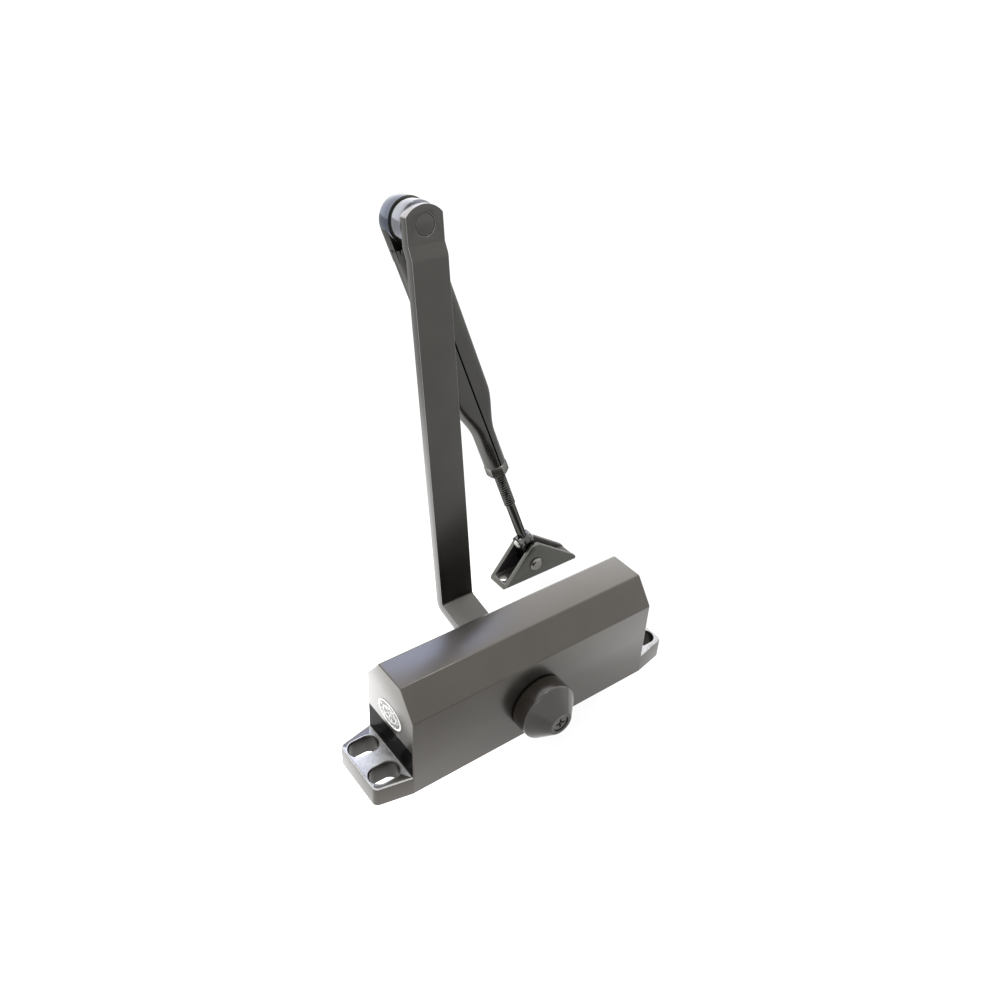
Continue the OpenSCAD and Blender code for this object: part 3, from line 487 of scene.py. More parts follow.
# --------------------------------------------------------------------------------------
# The bench
# --------------------------------------------------------------------------------------
class Blank:
    """A piece of stock that is worked with the modelling operators until it is a finished piece."""

    def __init__(self, name: str) -> None:
        """Takes the primitive that was just added as the stock.

        Args:
            name: The piece's name.
        """
        self.thing: bpy.types.Object = bpy.context.view_layer.objects.active
        self.thing.name = name
        self.thing.data.name = name
        bpy.ops.object.transform_apply(location=True, rotation=True, scale=True)

    @staticmethod
    def clear() -> None:
        """Deselects everything on the bench."""
        if bpy.context.mode != "OBJECT":
            bpy.ops.object.mode_set(mode="OBJECT")
        bpy.ops.object.select_all(action="DESELECT")

    @classmethod
    def block(cls, name: str, low: Point, high: Point) -> "Blank":
        """A square block between two corners.

        Args:
            name: The piece's name.
            low: Lowest corner in millimetres.
            high: Highest corner in millimetres.

        Returns:
            The blank.
        """
        cls.clear()
        middle = [(a + b) / 2 * MM for a, b in zip(low, high)]
        spans = [(b - a) * MM for a, b in zip(low, high)]
        bpy.ops.mesh.primitive_cube_add(size=1, location=middle, scale=spans)
        return cls(name)

    @classmethod
    def bar(cls, name: str, radius: float, start: Point, end: Point, sides: int = 64) -> "Blank":
        """A round bar from one point to another.

        Args:
            name: The piece's name.
            radius: Its radius in millimetres.
            start: Middle of its first end in millimetres.
            end: Middle of its other end in millimetres.
            sides: Number of flats round it.

        Returns:
            The blank.
        """
        cls.clear()
        a, b = Vector(start) * MM, Vector(end) * MM
        turn = (b - a).to_track_quat("Z", "Y").to_euler()
        bpy.ops.mesh.primitive_cylinder_add(
            vertices=sides, radius=radius * MM, depth=(b - a).length, location=(a + b) / 2, rotation=turn
        )
        return cls(name)

    def hold(self) -> None:
        """Makes this the one selected and active piece."""
        Blank.clear()
        self.thing.select_set(True)
        bpy.context.view_layer.objects.active = self.thing

    @contextmanager
    def editing(self, element: str = "FACE") -> Iterator[bmesh.types.BMesh]:
        """Opens the piece in edit mode with nothing selected.

        Args:
            element: What is selected, "VERT", "EDGE" or "FACE".

        Yields:
            The mesh in edit mode.
        """
        self.hold()
        bpy.ops.object.mode_set(mode="EDIT")
        bpy.ops.mesh.select_mode(type=element)
        bpy.ops.mesh.select_all(action="DESELECT")
        yield bmesh.from_edit_mesh(self.thing.data)
        bpy.ops.object.mode_set(mode="OBJECT")

    def pick_faces(self, test: Test) -> int:
        """Selects faces by their middle, in millimetres, and their normal.

        Args:
            test: Says whether a face is wanted.

        Returns:
            How many were picked.
        """
        mesh = bmesh.from_edit_mesh(self.thing.data)
        count = 0
        for face in mesh.faces:
            wanted = test(face.calc_center_median() / MM, face.normal)
            face.select_set(wanted)
            count += wanted
        bmesh.update_edit_mesh(self.thing.data)
        return count

    def pick_edges(self, test: Test) -> int:
        """Selects edges by their two ends, in millimetres.

        Args:
            test: Says whether an edge is wanted.

        Returns:
            How many were picked.
        """
        mesh = bmesh.from_edit_mesh(self.thing.data)
        count = 0
        for edge in mesh.edges:
            wanted = test(edge.verts[0].co / MM, edge.verts[1].co / MM)
            edge.select_set(wanted)
            count += wanted
        bmesh.update_edit_mesh(self.thing.data)
        return count

    def round_edges(self, test: Test, width: float, steps: int = 4, slot: int = -1) -> None:
        """Bevels the edges that pass a test.

        Args:
            test: Says whether an edge is wanted.
            width: Width of the bevel in millimetres.
            steps: Number of segments.
            slot: Material slot of the new faces, or -1 for the neighbours'.
        """
        with self.editing("EDGE"):
            if self.pick_edges(test):
                bpy.ops.mesh.bevel(
                    offset_type="OFFSET", offset=width * MM, segments=steps, profile=0.5,
                    affect="EDGES", clamp_overlap=True, material=slot,
                )

    @staticmethod
    def extrude(x: float, y: float, z: float) -> None:
        """Extrudes the picked faces by so many millimetres."""
        bpy.ops.mesh.extrude_region_move(TRANSFORM_OT_translate={"value": (x * MM, y * MM, z * MM)})

    def slice_off(self, point: Point, outward: Point) -> None:
        """Cuts away what lies outside a plane and closes the cut.

        Args:
            point: A point of the plane in millimetres.
            outward: The plane's outward direction.
        """
        with self.editing("VERT"):
            bpy.ops.mesh.select_all(action="SELECT")
            bpy.ops.mesh.bisect(
                plane_co=Vector(point) * MM, plane_no=Vector(outward).normalized(), use_fill=True,
                clear_outer=True, threshold=1e-7,
            )

    def reshape(self, move: Callable[[Vector], Vector]) -> None:
        """Moves every vertex by a rule, in millimetres.

        Args:
            move: Gives each vertex its new place.
        """
        with self.editing("VERT") as mesh:
            for vertex in mesh.verts:
                vertex.co = move(vertex.co / MM) * MM
            bmesh.update_edit_mesh(self.thing.data)

    def coat(self, *finishes: Finish) -> "Blank":
        """Gives the piece its finishes, one per material slot.

        Args:
            *finishes: The finishes in slot order.

        Returns:
            This blank.
        """
        self.thing.data.materials.clear()
        for finish in finishes:
            self.thing.data.materials.append(finish.material())
        return self

    def coat_faces(self, slot: int, test: Test) -> None:
        """Puts the faces that pass a test in another material slot.

        Args:
            slot: The material slot.
            test: Says whether a face is wanted.
        """
        with self.editing("FACE"):
            if self.pick_faces(test):
                self.thing.active_material_index = slot
                bpy.ops.object.material_slot_assign()

    def apply(self, kind: str, **settings: object) -> None:
        """Adds a modifier and applies it.

        Args:
            kind: The modifier's type.
            **settings: Its settings.
        """
        self.hold()
        made = self.thing.modifiers.new(kind.lower(), kind)
        for key, value in settings.items():
            setattr(made, key, value)
        bpy.ops.object.modifier_apply(modifier=made.name)

    def combine(self, tool: "Blank", operation: str = "DIFFERENCE") -> "Blank":
        """Cuts another blank away from this one, or joins it on, and uses it up.

        Args:
            tool: The other blank.
            operation: "DIFFERENCE", "UNION" or "INTERSECT".

        Returns:
            This blank.
        """
        self.apply(
            "BOOLEAN", object=tool.thing, operation=operation, solver="EXACT", material_mode="TRANSFER"
        )
        bpy.data.objects.remove(tool.thing)
        return self

    def soften(self, width: float, steps: int = 2, angle: float = 32.0, slot: int = -1) -> "Blank":
        """Rounds every sharp edge a little.

        Args:
            width: Width of the rounding in millimetres.
            steps: Number of segments.
            angle: Smallest angle that counts as an edge, in degrees.
            slot: Material slot of the rounded edges, or -1.

        Returns:
            This blank.
        """
        self.apply(
            "BEVEL", width=width * MM, segments=steps, limit_method="ANGLE",
            angle_limit=math.radians(angle), use_clamp_overlap=True, material=slot,
            miter_outer="MITER_ARC", harden_normals=False,
        )
        return self

    def weld(self, distance: float = 0.002) -> None:
        """Merges doubled vertices and turns the faces outwards.

        Args:
            distance: Merging distance in millimetres.
        """
        with self.editing("VERT"):
            bpy.ops.mesh.select_all(action="SELECT")
            bpy.ops.mesh.remove_doubles(threshold=distance * MM)
            bpy.ops.mesh.normals_make_consistent(inside=False)

    def place(self, matrix: Matrix) -> "Blank":
        """Moves a piece that was made in its own frame to its place.

        Args:
            matrix: The piece's frame, in metres.

        Returns:
            This blank.
        """
        self.hold()
        self.thing.matrix_world = matrix
        bpy.ops.object.transform_apply(location=True, rotation=True, scale=True)
        return self

    def smooth(self, angle: float = 34.0) -> "Blank":
        """Shades the piece smooth up to an angle in degrees."""
        self.hold()
        bpy.ops.object.shade_smooth_by_angle(angle=math.radians(angle))
        return self

    def fit(self, body: str, slot: str, *nodes: str) -> bpy.types.Object:
        """Fits the finished piece to the closer.

        Args:
            body: The body it rides on.
            slot: The record's material slot; not used.
            *nodes: The nodes that it stands for.

        Returns:
            The piece.
        """
        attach(self.thing, body)
        if nodes:
            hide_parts(*nodes)
        self.thing.data.update()
        LOG.info("%-18s %6d faces, rides on %s", self.thing.name, len(self.thing.data.polygons), body)
        return self.thing


def joint(name: str) -> dict:
    """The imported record's joint of that name."""
    return next(entry for entry in frame["joints"] if entry["name"] == name)


def frame_at(origin: Vector, z_axis: Vector, x_hint: Vector) -> Matrix:
    """A frame with its Z along one direction and its X near another.

    Args:
        origin: Its origin in metres.
        z_axis: Direction of its Z.
        x_hint: Direction that its X comes close to.

    Returns:
        The frame as a matrix.
    """
    z = z_axis.normalized()
    y = z.cross(x_hint).normalized()
    x = y.cross(z)
    made = Matrix((x, y, z)).transposed().to_4x4()
    made.translation = origin
    return made


class SubAssembly(ABC):
    """A group of pieces that are made together."""

    @abstractmethod
    def build(self) -> None:
        """Makes the pieces and dresses the nodes that stay."""

    def dress(self, node: str, finish: Finish, rounding: float = 0.0, steps: int = 2) -> None:
        """Gives a node that stays its finish and soft edges.

        Args:
            node: The node's name.
            finish: Its finish.
            rounding: Width of its rounded edges in millimetres, or 0.
            steps: Segments of the rounding.
        """
        thing = frame["nodes"][node]
        thing.data.materials.clear()
        thing.data.materials.append(finish.material())
        weld = thing.modifiers.new("weld", "WELD")
        weld.merge_threshold = 0.001 * MM
        flat = thing.modifiers.new("flat", "DECIMATE")
        flat.decimate_type = "DISSOLVE"
        flat.angle_limit = math.radians(0.5)
        if rounding:
            bevel = thing.modifiers.new("bevel", "BEVEL")
            bevel.width = rounding * MM
            bevel.segments = steps
            bevel.limit_method = "ANGLE"
            bevel.angle_limit = math.radians(32)
            bevel.use_clamp_overlap = True
        Blank.clear()
        thing.select_set(True)
        bpy.context.view_layer.objects.active = thing
        bpy.ops.object.shade_smooth_by_angle(angle=math.radians(34))
        Blank.clear()
        LOG.info("%-18s dressed in %s", node, finish.name)


# --------------------------------------------------------------------------------------
# Sub-assemblies
# --------------------------------------------------------------------------------------
@dataclass
class Housing(SubAssembly):
    """The cast body with its slotted feet, end plug, glands and valves. Sizes in millimetres.

    Attributes:
        length: Length of the block.
        width: Width of the block.
        height: Height of the block.
        chamfer: How far the top chamfers cut in and drop.
        foot: Length, thickness, width at the end and corner radius of a foot.
        slot: Length and width of a slot.
        slot_at: Distance of a slot's middle from the origin along X and Y.
        lip: Width of a slot's rounded lip and of the worn line round it.
        shade: Height up to which the left end, above its foot, carries a painted dark band that stands for
            the foot's reflection.
        bore: Radius, height and closed end of the cylinder.
        plug: Radius and start of the plug's recess.
        spindle_z: Height of the spindle axis.
        seats: Radius and start of each recess round the spindle, from the middle out.
        valve: Radius, offset, height and depth of a valve's drilling.
        spring: Coils of the return spring, their radius, the wire's thickness, its start and end.
        rounding: Width of the rounded long edges, end edges and foot edges, and of the fillet on the feet.
        tuck: How far a foot runs into the block before they are joined.
        border: Width of the label's border, and width and depth of the step inside it.
    """

    length: float = 145.0
    width: float = 40.0
    height: float = 60.0
    chamfer: tuple[float, float] = (10.4, 13.7)
    foot: tuple[float, float, float, float] = (18.5, 10.9, 32.5, 2.4)
    slot: tuple[float, float] = (15.0, 9.6)
    slot_at: tuple[float, float] = (81.75, 9.5)
    lip: tuple[float, float] = (0.85, 0.22)
    shade: float = 26.5
    bore: tuple[float, float, float] = (14.5, 33.0, -66.5)
    plug: tuple[float, float] = (16.05, 54.5)
    spindle_z: float = 19.5
    seats: tuple[tuple[float, float], ...] = ((8.78, -1.0), (9.7, 8.9), (11.55, 14.75))
    valve: tuple[float, float, float, float] = (2.55, 5.5, 54.4, 54.5)
    spring: tuple[float, float, float, float, float] = (6.0, 9.4, 3.6, -66.2, -18.4)
    rounding: tuple[float, float, float, float] = (0.9, 0.7, 0.8, 0.9)
    tuck: float = 4.0
    border: tuple[float, float, float] = (0.7, 0.12, 0.08)

    def block(self) -> Blank:
        """The block with its two top chamfers and rounded long edges."""
        half, side = self.length / 2, self.width / 2
        block = Blank.block("closer_body", (-half, -side, 0), (half, side, self.height))
        cut, drop = self.chamfer
        long_edge, end_edge = self.rounding[:2]
        for sign in (-1, 1):
            block.slice_off((0, sign * side, self.height - drop), (0, sign * drop, cut))
        block.round_edges(
            lambda a, b: abs(a.x - b.x) > half and min(a.z, b.z) > self.height - drop - 1, long_edge, 4
        )
        # Splits the faces at the top of the painted dark band on the left end.
        with block.editing("VERT"):
            bpy.ops.mesh.select_all(action="SELECT")
            bpy.ops.mesh.bisect(plane_co=(0, 0, self.shade * MM), plane_no=(0, 0, 1), threshold=1e-7)
        block.round_edges(
            lambda a, b: abs(a.x - b.x) < 1e-3 and abs(a.x) > half - 1 and max(a.z, b.z) > 0.1
            and not (abs(a.z - b.z) < 0.1 and min(a.z, b.z) < self.shade + 0.1), end_edge, 3
        )
        return block

    def foot_blank(self, sign: int) -> Blank:
        """One foot, tapered in plan, with its corners rounded.

        Args:
            sign: -1 for the left foot, 1 for the right one.

        Returns:
            The foot.
        """
        out, thick, end, corner = self.foot
        half, side = self.length / 2, self.width / 2
        ends = sorted((sign * half, sign * (half + out)))
        foot = Blank.block("foot", (ends[0], -side, 0), (ends[1], side, thick))
        with foot.editing("FACE"):
            foot.pick_faces(lambda at, normal: normal.x * sign > 0.9)
            middle = Vector((sign * (half + out), 0, thick / 2)) * MM
            bpy.ops.transform.resize(value=(1, end / self.width, 1), center_override=middle)
            bpy.ops.mesh.select_all(action="DESELECT")
            foot.pick_faces(lambda at, normal: normal.x * sign < -0.9)
            Blank.extrude(-sign * self.tuck, 0, 0)
        foot.weld()
        edge = half + out - 0.5
        foot.round_edges(
            lambda a, b: abs(a.z - b.z) > thick / 2 and min(abs(a.x), abs(b.x)) > edge, corner, 7
        )
        foot.round_edges(
            lambda a, b: min(a.z, b.z) > thick - 0.1 and max(abs(a.x), abs(b.x)) > half + 0.5,
            self.rounding[2], 3,
        )
        return foot

    def slot_cutter(self, at_x: float, at_y: float) -> Blank:
        """A cutter with round ends for one fixing slot.

        Args:
            at_x: Its middle along X.
            at_y: Its middle along Y.

        Returns:
            The cutter.
        """
        long, wide = self.slot
        cutter = Blank.bar("slot_cutter", wide / 2, (at_x, at_y, -5), (at_x, at_y, 30), 66)
        stretch = (long - wide) / 2
        cutter.reshape(lambda v: v + Vector((stretch if v.x > at_x else -stretch, 0, 0)))
        return cutter.coat(SLOT_WALL)

    def build(self) -> None:
        """Casts the body, machines it and dresses what it holds."""
        body = self.block()
        body.coat(BODY_PAINT, FOOT_CAST, RIM_WEAR, SLOT_WALL, PAINTED_FOOT_REFLECTION)
        for sign in (-1, 1):
            body.combine(self.foot_blank(sign).coat(BODY_PAINT), "UNION")
        half, thick = self.length / 2, self.foot[1]
        body.round_edges(
            lambda a, b: all(abs(abs(v.x) - half) < 0.05 and abs(v.z - thick) < 0.05 for v in (a, b)),
            self.rounding[3], 3,
        )
        for sx in (-1, 1):
            for sy in (-1, 1):
                body.combine(self.slot_cutter(sx * self.slot_at[0], sy * self.slot_at[1]))
        lip, line = self.lip
        body.round_edges(self.slot_ring(0.0), lip, 4, 3)
        body.round_edges(self.slot_ring(lip), line, 2, 2)
        self.machine(body)
        body.coat_faces(
            1, lambda at, normal: normal.z > 0.6 and abs(at.x) > half + 0.6
            and thick - 1.0 < at.z < thick + 0.1 and self.slot_distance(at) > sum(self.lip)
        )
        # Paints the left end's lower band dark, as a painted reflection of the foot.
        body.coat_faces(
            4, lambda at, normal: normal.x < -0.99 and at.x < 0.1 - half and thick < at.z < self.shade
        )
        body.smooth(30).fit("housing", "body_paint", "body_casting")
        for finish, rounding, nodes in (
            (ALUMINIUM, 0.4, ("end_plug",)),
            (RUBBER, 0.0, ("plug_seal", "closing_valve_seal", "latching_valve_seal")),
            (RUBBER, 0.0, ("front_seal", "rear_seal")),
            (BRASS, 0.15, ("closing_valve", "latching_valve")),
            (BRIGHT_STEEL, 0.15, ("front_bearing", "rear_bearing")),
            (ZINC, 0.3, ("front_gland", "rear_gland")),
            (BRIGHT_STEEL, 0.1, ("rack_piston",)),
            (BRIGHT_STEEL, 0.0, ("check_ball",)),
            (BRASS, 0.0, ("ball_retainer",)),
        ):
            for node in nodes:
                self.dress(node, finish, rounding)
        self.wind_spring()
        self.label()

    def slot_distance(self, at: Vector) -> float:
        """Distance of a point from the outline of the nearest slot, seen from above."""
        long, wide = self.slot
        x = max(0.0, abs(abs(at.x) - self.slot_at[0]) - (long - wide) / 2)
        y = abs(at.y) - self.slot_at[1]
        return math.hypot(x, y) - wide / 2

    def slot_ring(self, distance: float) -> Test:
        """A test for the edges that run round a slot at a distance from it.

        Args:
            distance: The distance from the slot's outline.

        Returns:
            The test.
        """
        thick = self.foot[1]
        return lambda a, b: all(
            abs(v.z - thick) < 0.05 and abs(self.slot_distance(v) - distance) < 0.08 for v in (a, b)
        )

    def machine(self, body: Blank) -> None:
        """Bores the cylinder, the plug's recess, the spindle's seats and the valve drillings.

        Args:
            body: The casting.
        """
        end, side = self.length / 2 + 5, self.width / 2 + 10
        radius, z, start = self.bore
        tools = [("bore", radius, (start, 0, z), (end, 0, z), 96),
                 ("bore", self.plug[0], (self.plug[1], 0, z), (end, 0, z), 96)]
        z = self.spindle_z
        for seat, begin in self.seats:
            for sign in (-1, 1):
                tools.append(("seat", seat, (0, sign * begin, z), (0, sign * side, z), 80))
        seat, offset, height, depth = self.valve
        for sign in (-1, 1):
            tools.append(("drill", seat, (depth, sign * offset, height), (end, sign * offset, height), 40))
        for tool in tools:
            body.combine(Blank.bar(*tool).coat(MACHINED))

    def wind_spring(self) -> None:
        """Winds the return spring from round wire; the piston presses it together."""
        turns, radius, wire, start, end = self.spring
        rise = end - start - wire
        spring = Blank.bar("coil_spring", wire / 2, (0, 0, 0), (turns, 0, 0), 12)
        for cuts in (14, round(turns * 2)):  # some 33 rings to a coil
            with spring.editing("EDGE"):
                spring.pick_edges(lambda a, b: abs(a.x - b.x) > 0.001)
                bpy.ops.mesh.subdivide(number_cuts=cuts, quadcorner="STRAIGHT_CUT")

        def wind(v: Vector) -> Vector:
            """Gives one vertex of the straight wire its place on the coil."""
            if v.x < 1:
                climb = v.x * wire
            elif v.x > turns - 1:
                climb = rise - (turns - v.x) * wire
            else:
                climb = wire + (rise - 2 * wire) * (v.x - 1) / (turns - 2)
            out, angle = radius + v.y, math.tau * v.x
            x = start + wire / 2 + climb + v.z
            return Vector((x, out * math.cos(angle), self.bore[1] + out * math.sin(angle)))

        spring.reshape(wind)
        spring.weld()
        piece = spring.coat(SPRING_STEEL).smooth(50).fit("housing", "spring_steel", "return_spring")
        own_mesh(piece)

    def label(self) -> None:
        """Presses the plain oval label out of a disc, with a raised border."""
        low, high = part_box("end_label")
        middle = (low + high) / 2
        width, height = high.y - low.y, high.z - low.z
        thick = (high.x - low.x) / MM
        at = middle / MM
        edge, step, drop = self.border
        half = Vector((thick / 2, 0, 0))
        plate = Blank.bar("end_plate_label", 1.0, at + half, at - half, 96)
        plate.reshape(lambda v: Vector((
            v.x, at.y + (v.y - at.y) * width / 2 / MM, at.z + (v.z - at.z) * height / 2 / MM
        )))
        with plate.editing("FACE"):
            plate.pick_faces(lambda place, normal: normal.x < -0.9)
            bpy.ops.mesh.inset(thickness=edge * MM, depth=0.0)
            bpy.ops.mesh.inset(thickness=step * MM, depth=-drop * MM)
        film = LabelFinish(
            "label_film", (0.6, 0.6, 0.58), (0.13, 0.13, 0.127), tuple(middle), width, height
        )
        plate.coat(film).smooth(30).fit("housing", "label_film", "end_label")


@dataclass
class SpindleCap(SubAssembly):
    """The moulded cap over the spare end of the spindle, with its screw. Sizes in millimetres.

    Attributes:
        rim: Radius of the rim.
        rim_height: Height of the straight part.
        height: Height of the cap.
        tip: Radius of the flat tip.
        wall: Thickness of the wall.
        screw_well: Radius and depth of the well that takes the screw's head.
        rounding: Width of the rounded shoulder, tip, well's edge and rim.
        base_y: Place of the rim along Y.
        spindle_z: Height of the spindle axis.
    """

    rim: float = 15.6
    rim_height: float = 9.1
    height: float = 18.0
    tip: float = 6.5
    wall: float = 1.8
    screw_well: tuple[float, float] = (4.5, 2.0)
    rounding: tuple[float, float, float, float] = (0.75, 0.5, 0.1, 0.5)
    base_y: float = -20.6
    spindle_z: float = 19.5

    def build(self) -> None:
        """Turns the cap and dresses the screw and the spindle."""
        shoulder = self.base_y - self.rim_height
        end = self.base_y - self.height
        axis_z = self.spindle_z
        cap = Blank.bar("cap_shell", self.rim, (0, self.base_y, axis_z), (0, shoulder, axis_z), 96)
        with cap.editing("FACE"):
            cap.pick_faces(lambda at, normal: normal.y < -0.9)
            Blank.extrude(0, end - shoulder, 0)
            share = self.tip / self.rim
            bpy.ops.transform.resize(value=(share, 1, share), center_override=(0, end * MM, axis_z * MM))
            bpy.ops.mesh.select_all(action="DESELECT")
            cap.pick_faces(lambda at, normal: normal.y < -0.99)
            bpy.ops.mesh.inset(thickness=(self.tip - self.screw_well[0]) * MM, depth=0.0)
            Blank.extrude(0, self.screw_well[1], 0)
            bpy.ops.mesh.select_all(action="DESELECT")
            cap.pick_faces(lambda at, normal: normal.y > 0.99 and at.y > self.base_y - 0.1)
            bpy.ops.mesh.inset(thickness=self.wall * MM, depth=0.0)
            Blank.extrude(0, 1 - self.rim_height, 0)

        def ring(radius: float, y: float) -> Test:
            """A test for the edges of one ring round the spindle."""
            return lambda a, b: all(
                abs(v.y - y) < 0.02 and abs(math.hypot(v.x, v.z - axis_z) - radius) < 0.05 for v in (a, b)
            )

        well = self.screw_well[0]
        rings = ((self.rim, shoulder, 5), (self.tip, end, 4), (well, end, 2), (self.rim, self.base_y, 3))
        for (radius, y, steps), width in zip(rings, self.rounding):
            cap.round_edges(ring(radius, y), width, steps)
        cap.coat(CAP_PLASTIC).smooth(28).fit("spindle_and_arm", "cap_plastic", "spindle_cap")
        self.dress("cap_screw", CAP_SCREW, 0.12)
        self.dress("pinion_spindle", BRIGHT_STEEL, 0.2)


@dataclass
class MainArm(SubAssembly):
    """The cranked arm with its joggled end, and the elbow. Sizes in millimetres.

    Attributes:
        width: Width of the bar.
        thick: Thickness of the bar.
        spindle_z: Height of the spindle axis.
        lug_y: Place of the lug's near face.
        crank: Place of the crank's two bends along Y and Z.
        slope: Slope of the bar in degrees.
        joggle: Offset and length of the joggle.
        joggle_end: Distance of the joggle from the elbow.
        square: Width of the square hole.
        rivet: Radius and depth of the rivet's recess.
        end: Radius of the curve over the elbow and its height over the elbow's axis.
        disc: Radius of the spacer, where it starts and ends along the elbow's axis, its hole's radius.
        bend: Inside radius of the bends.
        shank: Radius of the hole for the elbow's rivet.
        corner: Rounding of the corners beside the curve over the elbow.
        edge: Rounding of all the other edges.
    """

    width: float = 19.6
    thick: float = 5.0
    spindle_z: float = 19.5
    lug_y: float = 28.0
    crank: tuple[tuple[float, float], tuple[float, float]] = ((28.0, 30.1), (50.1, 35.3))
    slope: float = 8.9
    joggle: tuple[float, float] = (2.2, 5.5)
    joggle_end: float = 8.6
    square: float = 10.1
    rivet: tuple[float, float] = (5.2, 2.05)
    end: tuple[float, float] = (12.5, 9.0)
    disc: tuple[float, float, float, float] = (10.2, 5.1, 13.7, 3.72)
    bend: float = 1.6
    shank: float = 3.7
    corner: float = 2.2
    edge: float = 0.45

    def path(self) -> list[Vector]:
        """The near face of the bar in the YZ plane, from the lug's end to the elbow's end."""
        elbow = Vector(joint("elbow_turn")["pos_m"]) / MM
        up = Vector((math.sin(math.radians(self.slope)), math.cos(math.radians(self.slope))))
        out = Vector((up.y, -up.x))
        end = Vector((elbow.y, elbow.z))
        fold = Vector(self.crank[1])
        start = end - up * self.joggle_end
        offset, run = self.joggle
        return [
            Vector((self.lug_y, self.spindle_z - self.width / 2)), Vector(self.crank[0]), fold,
            start - up * run - out * offset, start, end + up * self.width / 2,
        ]

    @staticmethod
    def bent(
        path: Sequence[Vector], thick: float, radius: float, steps: int = 6
    ) -> list[tuple[Vector, Vector]]:
        """Both faces of a bent strip, station by station.

        Args:
            path: The near face.
            thick: Thickness of the strip.
            radius: Inside radius of the bends.
            steps: Stations in each bend.

        Returns:
            Pairs of near and far points.
        """

        def side(direction: Vector) -> Vector:
            """The direction across the strip."""
            return Vector((direction.y, -direction.x))

        stations = [(path[0], path[0] + side((path[1] - path[0]).normalized()) * thick)]
        for before, at, after in zip(path, path[1:], path[2:]):
            first, second = (at - before).normalized(), (after - at).normalized()
            turn = math.atan2(first.x * second.y - first.y * second.x, first.dot(second))
            bend = 1 if turn > 0 else -1
            near_radius = radius if turn > 0 else radius + thick
            start = at - first * (near_radius * math.tan(abs(turn) / 2))
            spoke = side(first) * bend * near_radius
            centre = start - spoke
            for step in range(steps + 1):
                angle = turn * step / steps
                turned = Vector((
                    spoke.x * math.cos(angle) - spoke.y * math.sin(angle),
                    spoke.x * math.sin(angle) + spoke.y * math.cos(angle),
                ))
                stations.append((centre + turned, centre + turned + turned.normalized() * bend * thick))
        last = (path[-1] - path[-2]).normalized()
        stations.append((path[-1], path[-1] + side(last) * thick))
        return stations

    def build(self) -> None:
        """Bends the arm from flat bar and dresses the elbow."""
        half = self.width / 2
        stations = self.bent(self.path(), self.thick, self.bend)
        first, second = stations[0], stations[1]
        arm = Blank.block("arm_bar", (-half, first[0].x, first[0].y), (half, first[1].x, second[0].y))
        with arm.editing("FACE"):
            for (near, far), goal in zip(stations[1:], stations[2:]):
                bpy.ops.mesh.select_all(action="DESELECT")
                middle = (near + far) / 2
                arm.pick_faces(lambda at, normal: (Vector((at.y, at.z)) - middle).length < 0.02)
                Blank.extrude(0, 0, 0)
                mesh = bmesh.from_edit_mesh(arm.thing.data)
                for vertex in (v for v in mesh.verts if v.select):
                    place = Vector((vertex.co.y, vertex.co.z)) / MM
                    end = goal[0] if (place - near).length < (place - far).length else goal[1]
                    vertex.co.y, vertex.co.z = end.x * MM, end.y * MM
                bmesh.update_edit_mesh(arm.thing.data)
        arm.weld()
        low = stations[0][0].y
        arm.round_edges(
            lambda a, b: abs(abs(a.x) - half) < 0.01 and abs(a.x - b.x) < 0.01
            and abs((a - b).length - self.thick) < 0.01 and max(a.z, b.z) < low + 0.5, half - 0.02, 14
        )
        elbow = Vector(joint("elbow_turn")["pos_m"]) / MM
        hinge = Vector(joint("elbow_turn")["axis"]).normalized()
        if hinge.y < 0:
            hinge.negate()
        radius, height = self.end
        up = hinge.cross(Vector((1, 0, 0)))
        if up.z < 0:
            up.negate()
        centre = elbow + up * (height - radius)
        curve = Blank.bar("end_curve", radius, centre - hinge * 9, centre + hinge * 9, 160)
        shelf = Blank.block("shelf", (-half - 9, -20, -20), (half + 9, 200, elbow.z - 1.5))
        # The curve over the elbow carries the light painted-highlight finish in slot 1.
        arm.coat(ARM_PAINT, ARM_EDGE_HIGHLIGHT)
        arm.combine(curve.coat(ARM_EDGE_HIGHLIGHT).combine(shelf.coat(ARM_PAINT), "UNION"), "INTERSECT")
        arm.round_edges(
            lambda a, b: min(abs(a.x), abs(b.x)) > half - 0.01 and a.z > elbow.z + 1 and (a - b).length > 4
            and abs((a - b).normalized().dot(hinge)) > 0.9, self.corner, 6
        )
        square = self.square / 2
        hole = Blank.block("square", (-square, self.lug_y - 3, self.spindle_z - square),
                           (square, self.lug_y + self.thick + 3, self.spindle_z + square))
        arm.combine(hole.coat(ARM_EDGE_HIGHLIGHT))
        recess = Blank.bar("recess", self.rivet[0], elbow - hinge * 3, elbow + hinge * self.rivet[1], 64)
        arm.combine(recess.coat(ARM_PAINT))
        shank = Blank.bar("shank", self.shank, elbow - hinge * 3, elbow + hinge * 12, 48)
        arm.combine(shank.coat(ARM_PAINT))
        # The rounded edges go to slot 1, the painted edge highlight.
        arm.soften(self.edge, 3, 40.0, 1)
        arm.smooth(32).fit("spindle_and_arm", "arm_paint", "main_arm")
        self.dress("elbow_rivet", ARM_PAINT, 0.3)
        self.spacer(elbow, hinge)
        self.dress("arm_washer", ZINC, 0.15)
        self.dress("arm_screw", ZINC, 0.3)


